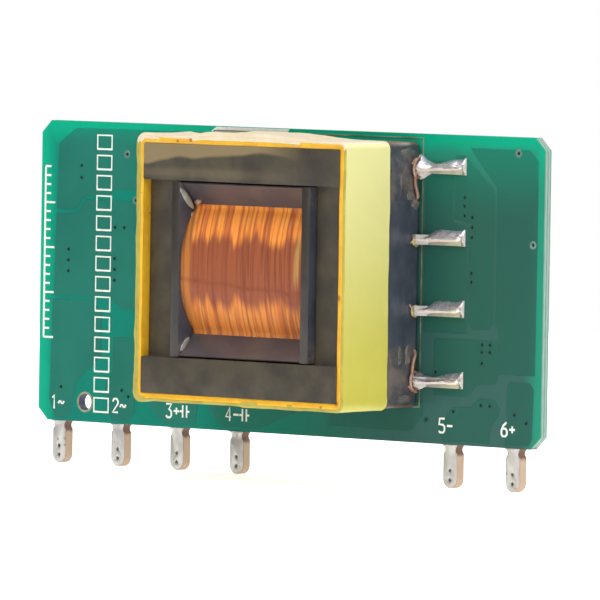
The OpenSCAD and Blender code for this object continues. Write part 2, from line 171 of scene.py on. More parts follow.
class NodeBench:
    """A node tree that is being put together."""

    def __init__(self, tree: bpy.types.NodeTree) -> None:
        """Keep the tree that the nodes go into."""
        self.tree = tree

    def feed(self, socket: bpy.types.NodeSocket, value: object) -> None:
        """Link a signal to an input, or set the input to a plain value or a colour code."""
        if isinstance(value, Signal):
            self.tree.links.new(value.socket, socket)
        else:
            socket.default_value = linear(value) if isinstance(value, str) else value

    def add(self, kind: str, inputs: dict | None = None, **settings: object) -> bpy.types.Node:
        """Add one node.

        Args:
            kind: Type name of the node.
            inputs: A signal, a value or a colour code for each named or numbered input.
            **settings: Properties of the node itself.

        Returns:
            The new node.
        """
        node = self.tree.nodes.new(kind)
        for key, value in settings.items():
            setattr(node, key, value)
        for key, value in (inputs or {}).items():
            self.feed(node.inputs[key], value)
        return node

    def get(self, kind: str, inputs: dict | None = None, output: int | str = 0, **settings: object) -> Signal:
        """Add one node as add does, and return one of its outputs."""
        return Signal(self, self.add(kind, inputs, **settings).outputs[output])

    def math(self, operation: str, *values: object) -> Signal:
        """Return the output of a Math node on one or two values."""
        return self.get("ShaderNodeMath", dict(enumerate(values)), operation=operation)

    def mix(self, mask: object, first: object, second: object) -> Signal:
        """Return a colour that goes from first to second with the mask."""
        return self.get("ShaderNodeMix", {0: mask, 6: first, 7: second}, 2, data_type="RGBA")

    def cloud(self, vector: Signal, scale: object, detail: float) -> Signal:
        """Return the value of a noise over a vector."""
        inputs = {"Vector": vector, "Scale": scale, "Detail": detail}
        return self.get("ShaderNodeTexNoise", inputs, "Fac")

    def vector(self, x: object, y: object = 0.0, z: object = 0.0) -> Signal:
        """Return a vector of three values."""
        return self.get("ShaderNodeCombineXYZ", {0: x, 1: y, 2: z})


class SharedGroups:
    """Shader node groups that several finishes use, each built once."""

    def __init__(self) -> None:
        """Build all groups."""
        self.mottle = self.make_mottle()
        self.grain = self.make_grain()
        self.specks = self.make_specks()

    @staticmethod
    def start(name: str, inputs: dict[str, str]) -> tuple[NodeBench, dict[str, Signal]]:
        """Start a group that reads a vector, a scale and some more inputs.

        Args:
            name: Name of the group.
            inputs: Socket type for each further input.

        Returns:
            The group's bench and a signal for each input.
        """
        bench = NodeBench(bpy.data.node_groups.new(name, "ShaderNodeTree"))
        for label, kind in {"Vector": "Vector", "Scale": "Float", **inputs}.items():
            bench.tree.interface.new_socket(label, in_out="INPUT", socket_type="NodeSocket" + kind)
        source = bench.add("NodeGroupInput")
        return bench, {socket.name: Signal(bench, socket) for socket in source.outputs if socket.name}

    @staticmethod
    def end(bench: NodeBench, outputs: dict[str, tuple[str, Signal]]) -> bpy.types.NodeTree:
        """End a group with the socket type and the signal of each output, and return it."""
        for label, (kind, _) in outputs.items():
            bench.tree.interface.new_socket(label, in_out="OUTPUT", socket_type="NodeSocket" + kind)
        bench.add("NodeGroupOutput", {label: signal for label, (_, signal) in outputs.items()})
        return bench.tree

    def make_mottle(self) -> bpy.types.NodeTree:
        """Soft patches of two colours, with a mask for the roughness."""
        bench, source = self.start("mottle", {"Light": "Color", "Dark": "Color", "Hardness": "Float"})
        spread = (1.0 - source["Hardness"]) * 0.3
        mask = bench.cloud(source["Vector"], source["Scale"], 5.0).ramp(0.49 - spread, spread + 0.51)
        colour = bench.mix(mask, source["Light"], source["Dark"])
        return self.end(bench, {"Colour": ("Color", colour), "Mask": ("Float", mask)})

    def make_grain(self) -> bpy.types.NodeTree:
        """Height of a fine grain over a slow swell."""
        bench, source = self.start("grain", {"Swell": "Float"})
        fine = bench.cloud(source["Vector"], source["Scale"], 2.0)
        slow = bench.cloud(source["Vector"], source["Scale"] * 0.12, 1.0)
        return self.end(bench, {"Height": ("Float", fine + slow * source["Swell"])})

    def make_specks(self) -> bpy.types.NodeTree:
        """Small round specks of dust or char on a colour."""
        bench, source = self.start("specks", {"Size": "Float", "Colour": "Color", "Speck": "Color"})
        inputs = {label: source[label] for label in ("Vector", "Scale")}
        cells = bench.add("ShaderNodeTexVoronoi", inputs).outputs
        chance = bench.get("ShaderNodeSeparateColor", {0: Signal(bench, cells["Color"])})
        near = bench.math("LESS_THAN", Signal(bench, cells["Distance"]), chance * source["Size"])
        return self.end(bench, {"Colour": ("Color", bench.mix(near, source["Colour"], source["Speck"]))})


class Recipe(NodeBench):
    """The node tree of one material, with its Principled shader."""

    def __init__(self, name: str) -> None:
        """Start the material."""
        self.material = bpy.data.materials.new(name)
        self.material.use_nodes = True
        super().__init__(self.material.node_tree)
        self.shader = self.tree.nodes["Principled BSDF"]
        self.place = self.get("ShaderNodeTexCoord", output="Object")
        self.axes = self.add("ShaderNodeSeparateXYZ", {0: self.place}).outputs

    def axis(self, index: int, origin: float = 0.0) -> Signal:
        """Return one coordinate in millimetres, counted from an origin."""
        return Signal(self, self.axes[index]) * (1 / MM) - origin

    def noise(self, size: float) -> Signal:
        """Return a noise value whose features are about size millimetres across."""
        return self.cloud(self.place, 1 / (size * MM), 3.0)


@dataclass(frozen=True)
class Finish:
    """How one kind of surface looks.

    Attributes:
        name: Name of the material.
        slot: The material slot that it belongs to. It is not used.
        light: Lighter of its two colours.
        dark: Darker of its two colours.
        patch: Size of the colour patches in millimetres.
        rough: Roughness of the light and of the dark patches.
        stretch: How the patches are squeezed along X, Y and Z.
        metallic: Metalness of the shader.
        coat: Weight of a clear coat.
        specular: Specular level of the shader.
        bump: Height of the grain in millimetres.
        grain: Size of the grain in millimetres.
        swell: Height of the slow swell against the grain.
        speck: Colour of the specks, or nothing for none.
        speck_gap: Distance between specks in millimetres.
    """

    name: str
    slot: Slot
    light: str
    dark: str
    patch: float
    rough: Point
    stretch: tuple[float, float, float] = (1.0, 1.0, 1.0)
    metallic: float = 0.0
    coat: float = 0.0
    specular: float = 0.5
    bump: float = 0.004
    grain: float = 0.12
    swell: float = 1.5
    speck: str = ""
    speck_gap: float = 1.2

    def build(self, groups: SharedGroups) -> bpy.types.Material:
        """Make the material.

        Args:
            groups: The shared node groups.

        Returns:
            The finished material.
        """
        recipe = Recipe(self.name)
        place = recipe.get("ShaderNodeMapping", {"Vector": recipe.place, "Scale": self.stretch})
        mottle = recipe.add("ShaderNodeGroup", {
            "Vector": place, "Scale": 1 / (self.patch * MM), "Light": self.light, "Dark": self.dark,
            "Hardness": HARDNESS,
        }, node_tree=groups.mottle).outputs
        colour = self.tint(recipe, Signal(recipe, mottle["Colour"]))
        if self.speck:
            colour = recipe.get("ShaderNodeGroup", {
                "Vector": recipe.place, "Scale": 1 / (self.speck_gap * MM), "Size": SPECK_SIZE,
                "Colour": colour, "Speck": self.speck,
            }, node_tree=groups.specks)
        height = recipe.get("ShaderNodeGroup", {
            "Vector": place, "Scale": 1 / (self.grain * MM), "Swell": self.swell,
        }, node_tree=groups.grain)
        settings = {
            "Base Color": colour,
            "Roughness": recipe.get("ShaderNodeMapRange", {
                "Value": Signal(recipe, mottle["Mask"]), "To Min": self.rough[0], "To Max": self.rough[1],
            }),
            "Metallic": self.metallic,
            "Coat Weight": self.coat,
            "Coat Roughness": COAT_ROUGHNESS,
            "Specular IOR Level": self.specular,
            "Normal": recipe.get("ShaderNodeBump", {
                "Height": self.relief(recipe, height), "Distance": self.bump * MM,
            }),
        }
        for label, value in settings.items():
            recipe.feed(recipe.shader.inputs[label], value)
        return recipe.material

    def tint(self, recipe: Recipe, colour: Signal) -> Signal:
        """Return the colour with what is special to this finish laid over it."""
        return colour

    def relief(self, recipe: Recipe, height: Signal) -> Signal:
        """Return the bump height with what is special to this finish added."""
        return height


@dataclass(frozen=True)
class MaskFinish(Finish):
    """Solder mask, brighter along the board's edges, with painted shade and painted light at its output end.

    Attributes:
        glow: Colour along the edges.
        deep: Colour of the painted shade at the output end.
        half: Half width of the board, and its height.
        rim: How far the bright rim reaches in from an edge.
        strength: How strong the rim is.
        depth: How strong the painted shade is.
        painted_shade_x: Where the painted shade starts, and where it is full.
        wash_z: Heights between which painted light from above brightens the output end.
    """

    glow: str = "#06a883"
    deep: str = "#3a5855"
    half: Point = (26.35, 25.0)
    rim: float = 2.0
    strength: float = 1.0
    depth: float = 0.85
    painted_shade_x: Point = (-6.0, 15.0)
    wash_z: Point = (17.5, 26.0)

    def tint(self, recipe: Recipe, colour: Signal) -> Signal:
        """Lay the painted shade, then the bright rim and the painted light, over the mask."""
        x, z = recipe.axis(0), recipe.axis(2)
        # painted shade: the mask grows darker towards the output end
        with_painted_shade = recipe.mix(x.ramp(*self.painted_shade_x) * self.depth, colour, self.deep)
        near = recipe.math("MINIMUM", self.half[0] - abs(x), (self.half[1] - z) * 0.75)
        upper_end = x.ramp(8.0, 18.0) * z.ramp(20.0, 23.0)
        lower_end = x.ramp(5.0, 24.0) * z.ramp(25.0, 20.0)
        fade = upper_end * (1 - self.strength) + self.strength - lower_end * 0.45
        glow = (near + recipe.noise(3.0) * 0.8).ramp(self.rim + 0.6, 0.5) * fade
        # painted light from above: the upper part of the output end grows brighter
        wash = x.ramp(6.0, 14.0) * z.ramp(*self.wash_z) * 0.55
        return recipe.mix(glow.over(wash), with_painted_shade, self.glow)


@dataclass(frozen=True)
class LaminateFinish(Finish):
    """Glass cloth laminate: pale at the sawn sides, tan and scorched at the terminal roots.

    Attributes:
        tongue: Colour of the terminals' sides.
        scorch: Colour of the milled roots of the terminals.
    """

    tongue: str = "#c2a78c"
    scorch: str = "#7a5a48"

    def tint(self, recipe: Recipe, colour: Signal) -> Signal:
        """Lay the cloth's layers, the tan tongues and the scorched roots over the colour."""
        layers = recipe.get("ShaderNodeTexWave", {
            "Vector": recipe.place, "Scale": 900.0, "Distortion": 1.2, "Detail": 2.0,
        }, "Fac", bands_direction="Y")
        cloth = recipe.mix(layers * 0.25, colour, "#ffffff")
        ragged = recipe.axis(2) + recipe.noise(0.5) * 0.5
        tongue = recipe.mix(ragged.ramp(0.3, 0.15), cloth, self.tongue)
        return recipe.mix(ragged.ramp(-0.75, -0.45) * ragged.ramp(0.5, 0.2), tongue, self.scorch)


@dataclass(frozen=True)
class FerriteFinish(Finish):
    """Ferrite with streaks of dried varnish under the belt on its upper bar, their tan colour a painted
    reflection.

    Attributes:
        varnish: Colour of the streaks, varnish with a painted reflection on it.
        edge: Height of the belt's inner edge above the middle.
        second: How far below that edge the second streak runs.
    """

    varnish: str = "#a08c64"
    edge: float = 10.2
    second: float = 2.35

    def tint(self, recipe: Recipe, colour: Signal) -> Signal:
        """Lay the streaks, varnish with a painted reflection, over the ferrite."""
        x = recipe.axis(0, CORE_AT[0])
        below = self.edge - recipe.axis(2, CORE_AT[1])
        wave = recipe.cloud(recipe.vector(x * 0.45), 0.55, 0.5)
        width = wave * 1.6 + 0.75 - x.ramp(-10.0, 3.0) * 0.7
        # painted reflection on the varnish streaks
        streak = (width - below).ramp(0.0, 0.35) * x.ramp(7.0, 1.0)
        streaked = recipe.mix(streak * 0.62, colour, self.varnish)
        second = abs(below - self.second).ramp(0.6, 0.1) * x.ramp(6.0, -2.0)
        return recipe.mix(second * 0.15, streaked, self.varnish)


@dataclass(frozen=True)
class WindingFinish(Finish):
    """Enamelled turns under amber tape: bright near the ends and brown across the crown, with painted shade
    and a painted highlight.

    Attributes:
        shade: Colour of the deeper turns.
        low: Colour of the painted shade that the lower turns tend to, as the light falls from above.
        band: Colour across the crown of the coil.
        gap: Colour between two turns.
        painted_edge_highlight: Colour of a painted highlight along the coil's edge at the input end.
        tail: Colour of the tape's tail at the output end.
        band_half: Half height of the brown band.
        bow: How far the turns move along X as they rise towards the crown.
        turn: Width of one turn.
        fold: How far below the middle the tape's fold crosses the coil.
        fold_slope: Fall of the fold along X.
    """

    shade: str = "#d97838"
    low: str = "#a05a28"
    band: str = "#8e4a30"
    gap: str = "#6b3028"
    painted_edge_highlight: str = "#bd7632"
    tail: str = "#c49a55"
    band_half: float = 4.1
    bow: float = 0.4
    turn: float = 0.5
    fold: float = 1.05
    fold_slope: float = 0.06

    def tint(self, recipe: Recipe, colour: Signal) -> Signal:
        """Lay the streaks, the painted shade, the band with its fringe, the painted highlight, the tail and
        the dark gaps over the colour.
        """
        x, z = recipe.axis(0, CORE_AT[0]), recipe.axis(2, CORE_AT[1])
        bowed = x + recipe.axis(1) * self.bow
        leaning, drawn = bowed + z * 0.03, z * 0.04
        first, second = recipe.vector(leaning, 0.0, drawn), recipe.vector(leaning, 7.3, drawn)

        def streaks(along: Signal, size: float, start: float, end: float) -> Signal:
            """Return a mask of long streaks that are about size millimetres wide."""
            return recipe.cloud(along, 1 / size, 1.0).ramp(start, end)

        colour = recipe.mix(streaks(first, 0.6, 0.48, 0.62), colour, self.shade)
        # painted shade: the lower turns grow darker, as the light falls from above
        colour = recipe.mix(z.ramp(2.0, -6.0) * 0.5, colour, self.low)
        reach = abs(z) + recipe.cloud(second, 1.3, 2.0) * 3.0
        crown = reach.ramp(self.band_half + 0.6, self.band_half - 0.6)
        colour = recipe.mix(crown * 0.92, colour, self.band)
        # painted highlight along the coil's edge at the input end
        bare = x.ramp(-5.25, -5.6) * abs(z).ramp(5.0, 3.5)
        colour = recipe.mix(bare * 0.8, colour, self.painted_edge_highlight)
        tail = x.ramp(5.25, 5.6) * x.ramp(6.15, 5.9) * (z.ramp(-1.6, 0.2) * z.ramp(3.8, 1.8))
        colour = recipe.mix(tail * 0.7, colour, self.tail)
        worn = streaks(second, 0.9, 0.3, 0.6)
        gaps = recipe.math("PINGPONG", bowed + 10.0, self.turn / 2).ramp(0.09, 0.02) * worn
        lines = streaks(second, 0.36, 0.55, 0.66)
        wavy = streaks(second, 2.6, 0.3, 0.7) * 0.3 + self.fold
        fold = abs(z + x * self.fold_slope + wavy).ramp(0.3, 0.03) * worn.over(0.6)
        return recipe.mix((lines * 0.5).over(gaps * 0.5).over(fold * 0.45), colour, self.gap)


@dataclass(frozen=True)
class TapeFinish(Finish):
    """Polyester tape, with fine cross wrinkles, paler towards the top of the belt.

    Attributes:
        pale: Colour where the top light washes the tape out.
        pale_z: Heights where the wash starts and where it is full.
    """

    pale: str = "#e9e39c"
    pale_z: Point = (4.0, 24.0)

    def tint(self, recipe: Recipe, colour: Signal) -> Signal:
        """Lay the wash over the tape."""
        return recipe.mix(recipe.axis(2).ramp(*self.pale_z), colour, self.pale)

    def relief(self, recipe: Recipe, height: Signal) -> Signal:
        """Add wrinkles that cross the tape."""
        return height + recipe.get("ShaderNodeTexWave", {
            "Vector": recipe.place, "Scale": 260.0, "Distortion": 9.0, "Detail": 3.0, "Detail Scale": 0.6,
        }, "Fac", bands_direction="DIAGONAL")


@dataclass(frozen=True)
class BlockFinish(Finish):
    """Bobbin resin with brown varnish dried on it near the end pins and along its ends.

    Attributes:
        stain: Colour of the varnish.
        rim: Colour of the thick varnish at the upper and lower end.
        pins: Height of the end pins above and below the transformer's middle.
        end: Height of the ends above and below it.
    """

    stain: str = "#75665a"
    rim: str = "#7d5a38"
    pins: float = 8.0
    end: float = 10.75

    def tint(self, recipe: Recipe, colour: Signal) -> Signal:
        """Lay the stains over the resin."""
        height = abs(recipe.axis(2, CORE_AT[1]))
        cloud = recipe.noise(1.1).ramp(0.38, 0.68).over(recipe.noise(0.45).ramp(0.42, 0.7) * 0.7)
        patch = abs(height - self.pins).ramp(3.2, 1.2) * cloud
        stained = recipe.mix(patch * 0.75, colour, self.stain)
        edge = height.ramp(self.end - 0.35, self.end - 0.05)
        return recipe.mix(edge * 0.75, stained, self.rim)


# ---------------------------------------------------------------- shapes


def copy_of(node: bpy.types.Object) -> BMesh:
    """Return a CAD node's mesh as a joined bmesh in millimetres, with its flat faces whole."""
    bm = bmesh.new()
    bm.from_mesh(node.data)
    bmesh.ops.scale(bm, vec=Vector((1, 1, 1)) / MM, verts=bm.verts)
    bmesh.ops.remove_doubles(bm, verts=bm.verts, dist=WELD)
    bmesh.ops.dissolve_limit(bm, angle_limit=math.radians(1), verts=bm.verts, edges=bm.edges)
    for face in bm.faces:
        face.material_index = 0
    return bm


def bevel(bm: BMesh, edges: Sequence[BMEdge], width: float, segments: int) -> None:
    """Cut some edges back by a width, with a number of facets."""
    bmesh.ops.bevel(
        bm, geom=edges, offset=width, offset_type="OFFSET", segments=segments, profile=0.5,
        affect="EDGES", clamp_overlap=True, material=-1,
    )


def soften(bm: BMesh, width: float, skip: Callable[[BMEdge], bool] = lambda edge: False) -> BMesh:
    """Round the sharp edges of a solid, apart from those to skip, and return it."""
    limit = math.radians(SHARP)
    sharp = [e for e in bm.edges if e.is_manifold and e.calc_face_angle(0) > limit and not skip(e)]
    bevel(bm, sharp, width, 2)
    return bm


def span(verts: Iterable[BMVert]) -> tuple[Vector, Vector]:
    """Return the lowest and the highest corner of some vertices."""
    spots = list(zip(*[v.co for v in verts]))
    return Vector([min(values) for values in spots]), Vector([max(values) for values in spots])


def islands(bm: BMesh) -> list[list[BMVert]]:
    """Return the vertices of each separate solid of a bmesh, from left to right."""
    left = set(bm.verts)
    found = []
    while left:
        stack = [left.pop()]
        solid = []
        while stack:
            vert = stack.pop()
            solid.append(vert)
            for edge in vert.link_edges:
                other = edge.other_vert(vert)
                if other in left:
                    left.remove(other)
                    stack.append(other)
        found.append(solid)
    return sorted(found, key=lambda solid: (round(span(solid)[0].x, 2), round(span(solid)[0].z, 2)))


def ring_points(centre: Point, radius: float, count: int = 16) -> list[Point]:
    """Return points on a circle."""
    steps = [2 * math.pi * i / count for i in range(count)]
    return [(centre[0] + radius * math.cos(a), centre[1] + radius * math.sin(a)) for a in steps]


def draw_loop(bm: BMesh, points: Sequence[Point], y: float) -> list[BMEdge]:
    """Draw a closed loop of x, z points at a depth and return its edges."""
    verts = [bm.verts.new((x, y, z)) for x, z in points]
    return [bm.edges.new((a, b)) for a, b in zip(verts, verts[1:] + verts[:1])]


def face_outwards(bm: BMesh) -> None:
    """Turn every face of a closed solid outwards."""
    bmesh.ops.recalc_face_normals(bm, faces=bm.faces)
    if bm.calc_volume(signed=True) < 0:
        bmesh.ops.reverse_faces(bm, faces=bm.faces)


def double(bm: BMesh) -> list[BMVert]:
    """Copy a sheet in place, join both by walls, and return the copy's vertices."""
    grown = bmesh.ops.extrude_face_region(bm, geom=bm.faces[:], use_keep_orig=True)["geom"]
    return [g for g in grown if isinstance(g, BMVert)]


def plate(
    outline: Sequence[Point], y0: float, y1: float, holes: Iterable[Sequence[Point]] = (), edge: float = 0.0
) -> BMesh:
    """Make a flat plate from an outline in the board's plane.

    Args:
        outline: Corners as x and z.
        y0: Depth of the face that lies on something.
        y1: Depth of the open face.
        holes: Outlines of the holes.
        edge: Width of the chamfer round the open face.

    Returns:
        A closed plate.
    """
    bm = bmesh.new()
    edges = draw_loop(bm, outline, y0)
    for hole in holes:
        edges += draw_loop(bm, hole, y0)
    bmesh.ops.triangle_fill(bm, use_beauty=True, use_dissolve=False, edges=edges)
    bmesh.ops.translate(bm, vec=(0, y1 - y0, 0), verts=double(bm))
    face_outwards(bm)
    if edge:
        rim = [e for e in bm.edges if all(abs(v.co.y - y1) < 1e-5 for v in e.verts)]
        bevel(bm, [e for e in rim if e.calc_face_angle(0) > 1], edge, 1)
    return bm


def block(low: Sequence[float], high: Sequence[float], edge: float) -> BMesh:
    """Make a box between two corners, with rounded edges."""
    bm = bmesh.new()
    low, high = Vector(low), Vector(high)
    place = Matrix.Translation((high + low) / 2) @ Matrix.Diagonal((*(high - low), 1))
    bmesh.ops.create_cube(bm, size=1, matrix=place)
    return soften(bm, edge)


def merge(*parts: BMesh) -> BMesh:
    """Join several bmeshes into one and free the others."""
    whole = bmesh.new()
    for part in parts:
        mesh = bpy.data.meshes.new("part")
        part.to_mesh(mesh)
        part.free()
        whole.from_mesh(mesh)
        bpy.data.meshes.remove(mesh)
    return whole


def paint(bm: BMesh, index: int, chosen: Callable[[BMFace], bool] = lambda face: True) -> BMesh:
    """Give faces one of the piece's finishes, by its place in the list."""
    for face in bm.faces:
        if chosen(face):
            face.material_index = index
    return bm


def thread(points: Sequence[Sequence[float]], radius: float, smooth: bool = True, sides: int = 3) -> BMesh:
    """Make a round wire along a route.

    Args:
        points: The route.
        radius: Radius of the wire.
        smooth: Whether the route is one smooth curve or straight runs.
        sides: Quarter resolution of the round section.

    Returns:
        The closed wire.
    """
    curve = bpy.data.curves.new("thread", "CURVE")
    curve.dimensions = "3D"
    curve.bevel_depth = radius
    curve.bevel_resolution = sides
    curve.use_fill_caps = True
    curve.resolution_u = 6
    spline = curve.splines.new("NURBS" if smooth else "POLY")
    spline.points.add(len(points) - 1)
    for slot, spot in zip(spline.points, points):
        slot.co = (*spot, 1)
    if smooth:
        spline.order_u = 4
        spline.use_endpoint_u = True
    holder = bpy.data.objects.new("thread", curve)
    mesh = bpy.data.meshes.new_from_object(holder)
    bm = bmesh.new()
    bm.from_mesh(mesh)
    bmesh.ops.remove_doubles(bm, verts=bm.verts, dist=1e-5)
    bmesh.ops.recalc_face_normals(bm, faces=bm.faces)
    bpy.data.objects.remove(holder)
    bpy.data.curves.remove(curve)
    bpy.data.meshes.remove(mesh)
    return bm


def sheet(columns: int, rows: int, place: Callable[[float, float], Sequence[float]]) -> BMesh:
    """Bend a flat grid into shape.

    Args:
        columns: Cells along the first direction.
        rows: Cells along the second direction.
        place: Gives the place of the grid's point at u and v, both from 0 to 1.

    Returns:
        The open sheet.
    """
    bm = bmesh.new()
    bmesh.ops.create_grid(bm, x_segments=columns, y_segments=rows, size=0.5)
    for vert in bm.verts:
        vert.co = Vector(place(vert.co.x + 0.5, vert.co.y + 0.5))
    return bm


def seal(bm: BMesh) -> BMesh:
    """Join the borders that meet when a sheet closes on itself."""
    bmesh.ops.remove_doubles(bm, verts=bm.verts, dist=1e-4)
    bmesh.ops.recalc_face_normals(bm, faces=bm.faces)
    return bm


def loft(sections: Sequence[Callable[[float], Sequence[float]]], sides: int) -> BMesh:
    """Make a closed skin through a row of sections.

    Args:
        sections: Each gives a point for an angle round the section.
        sides: Number of points round a section.

    Returns:
        The closed solid.
    """
    bm = bmesh.new()
    ring = bmesh.ops.create_circle(bm, cap_ends=True, radius=1, segments=sides)["verts"]
    angles = [math.atan2(v.co.y, v.co.x) for v in ring]
    loop = bm.edges[:]
    for index, section in enumerate(sections):
        if index:
            grown = bmesh.ops.extrude_edge_only(bm, edges=loop)["geom"]
            fresh = {g for g in grown if isinstance(g, BMVert)}
            ring = [next(e.other_vert(v) for e in v.link_edges if e.other_vert(v) in fresh) for v in ring]
            loop = [e for e in bm.edges if all(v in fresh for v in e.verts)]
        for vert, angle in zip(ring, angles):
            vert.co = Vector(section(angle))
    bmesh.ops.contextual_create(bm, geom=loop)
    face_outwards(bm)
    return bm


def ripple(at: Sequence[float], size: float, seed: float = 0.0) -> float:
    """Return smooth noise between -1 and 1 with features of a given size."""
    return noise.noise(Vector(at) / size + Vector((seed, seed * 1.7, seed * 0.3)))


def step(value: float, start: float, end: float) -> float:
    """Return 0 at start and 1 at end with a smooth step between them."""
    t = min(max((value - start) / (end - start), 0.0), 1.0)
    return t * t * (3 - 2 * t)


@dataclass
class Workshop:
    """Turns bmeshes in millimetres into finished pieces that ride on the frame.

    Attributes:
        nodes: The CAD nodes by name.
        groups: The shared node groups.
        materials: Materials made so far, by name.
    """

    nodes: dict[str, bpy.types.Object]
    groups: SharedGroups
    materials: dict[str, bpy.types.Material] = field(default_factory=dict)

    def material(self, finish: Finish) -> bpy.types.Material:
        """Return the material of a finish, built the first time it is asked for."""
        if finish.name not in self.materials:
            self.materials[finish.name] = finish.build(self.groups)
        return self.materials[finish.name]

    def copy(self, node: str) -> BMesh:
        """Return a CAD node's mesh in millimetres."""
        return copy_of(self.nodes[node])

    def piece(
        self, name: str, bm: BMesh, finishes: Sequence[Finish], replaces: Sequence[str] = (),
        crease: float = 40.0,
    ) -> None:
        """Make one piece.

        Args:
            name: Name of the piece.
            bm: Its mesh in millimetres. It is freed.
            finishes: Its finishes, in the order of the faces' material indices.
            replaces: CAD nodes that it stands for.
            crease: Angle in degrees above which an edge stays sharp.
        """
        bmesh.ops.scale(bm, vec=Vector((MM, MM, MM)), verts=bm.verts)
        mesh = bpy.data.meshes.new(name)
        bm.to_mesh(mesh)
        bm.free()
        for polygon in mesh.polygons:
            polygon.use_smooth = True
        mesh.set_sharp_from_angle(angle=math.radians(crease))
        for finish in finishes:
            mesh.materials.append(self.material(finish))
        piece = bpy.data.objects.new(name, mesh)
        bpy.context.scene.collection.objects.link(piece)
        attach(piece, BODY)
        if replaces:
            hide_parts(*replaces)
        log.info("%s: %d faces", name, len(mesh.polygons))

    def dress(self, node: str, finish: Finish) -> None:
        """Give a CAD node that stays in view its finish."""
        mesh = self.nodes[node].data
        mesh.materials.clear()
        mesh.materials.append(self.material(finish))

    def corners(self, node: str) -> tuple[Vector, Vector]:
        """Return a CAD node's lowest and highest corner in millimetres."""
        low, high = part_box(node)
        return low / MM, high / MM


# ---------------------------------------------------------------- finishes of this object

MASK = MaskFinish(
    "solder_mask", Slot.BOARD, "#0b8270", "#0a7a68", 6.0, (0.36, 0.42), specular=0.12, bump=0.003
)
# its deep colour is painted shade at the output end, as on the plain mask
MASK_OVER_COPPER = MaskFinish(
    "mask_over_copper", Slot.BOARD, "#257868", "#206d5f", 7.0, (0.36, 0.42), specular=0.12, bump=0.003,
    glow="#119377", deep="#2a564c", rim=1.4, strength=0.6,
)
LAMINATE = LaminateFinish(
    "glass_laminate", Slot.BOARD, "#6b9883", "#5c8872", 1.2, (0.55, 0.7), stretch=(1, 5, 1), bump=0.012,
    grain=0.08,
)
VIA = Finish("via_bore", Slot.BOARD, "#1d2b28", "#12201e", 0.3, (0.5, 0.6))
VIA_RING = Finish("via_ring", Slot.TIN, "#76958a", "#5c7d72", 0.3, (0.35, 0.5), metallic=0.4)
HOLE_WALL = Finish("hole_wall", Slot.BOARD, "#4a5470", "#363c55", 0.5, (0.4, 0.55))
HOLE_RIM = Finish("hole_rim", Slot.BOARD, "#a3a184", "#7d7a5e", 0.4, (0.5, 0.6))
# olive ink: the legend's white ink darkened by painted shadow, for the outline round the transformer
INK_IN_PAINTED_SHADOW = Finish("ink_in_painted_shadow", Slot.BOARD, "#8b9274", "#5f5f40", 1.4, (0.5, 0.7), bump=0.006, grain=0.06)
INK = Finish("legend_ink", Slot.BOARD, "#f4f7ef", "#e3e9dd", 0.5, (0.55, 0.7), bump=0.006, grain=0.06)
TIN = Finish(
    "tinned_face", Slot.TIN, "#d3d0cc", "#c0bbb6", 0.6, (0.32, 0.48), stretch=(1, 1, 0.6), metallic=0.75,
    bump=0.014, grain=0.25, swell=2.5, speck="#b79d86", speck_gap=0.8,
)
COPPER = Finish("bare_copper", Slot.COPPER, "#c77a45", "#9a5630", 0.4, (0.25, 0.4), metallic=0.6, coat=0.5)
FERRITE = FerriteFinish(
    "ferrite", Slot.FERRITE, "#4f4839", "#3b362e", 2.4, (0.45, 0.65), specular=0.35, bump=0.02
)
BOBBIN = BlockFinish(
    "bobbin_resin", Slot.BOBBIN, "#444853", "#343843", 1.5, (0.3, 0.45), coat=0.2, bump=0.008, grain=0.1
)
FLANGE = Finish(
    "varnished_flange", Slot.BOBBIN, "#38332b", "#2b2823", 1.6, (0.35, 0.5), coat=0.1, bump=0.01, grain=0.15
)
AMBER = WindingFinish(
    "amber_winding", Slot.AMBER, "#ffa346", "#fa943a", 1.4, (0.4, 0.52), stretch=(1, 1, 0.25), specular=0.3,
    bump=0.008, grain=0.2,
)
SKIRT = Finish(
    "dark_skirt", Slot.AMBER, "#534c4c", "#403c40", 3.0, (0.3, 0.45), coat=0.2, bump=0.006, grain=0.8
)
VARNISH = Finish(
    "dried_varnish", Slot.BOBBIN, "#787065", "#4f4c4b", 0.7, (0.2, 0.35), coat=0.4, bump=0.02, grain=0.4
)
# pale grey drops on varnish, their colour a painted highlight
DROP_HIGHLIGHT = Finish("drop_painted_highlight", Slot.AMBER, "#a9a79c", "#8d8c84", 0.8, (0.1, 0.2), coat=0.8)
YELLOW = TapeFinish(
    "yellow_tape", Slot.YELLOW, "#cfc655", "#cbc251", 2.4, (0.39, 0.42), coat=0.1, bump=0.006, grain=0.3
)
GOLD = Finish(
    "tape_edge", Slot.YELLOW, "#f2bb2e", "#e3a822", 1.1, (0.35, 0.5), bump=0.01, grain=0.25,
    speck="#b07c22", speck_gap=1.1,
)
LIME = Finish("tape_rim", Slot.YELLOW, "#bcb04c", "#a89a3e", 1.2, (0.35, 0.5), bump=0.01, grain=0.25)
# the tape in painted light from above, for its top faces and the upper front rim
LIT_TAPE = Finish("tape_in_painted_light", Slot.YELLOW, "#ecdcc0", "#e2cfa9", 2.0, (0.35, 0.5), bump=0.008, grain=0.3)
SOLDER = Finish(
    "solder", Slot.SOLDER, "#e6e2ea", "#b0abb8", 0.5, (0.2, 0.38), metallic=0.8, bump=0.016, grain=0.5,
    swell=2.0,
)
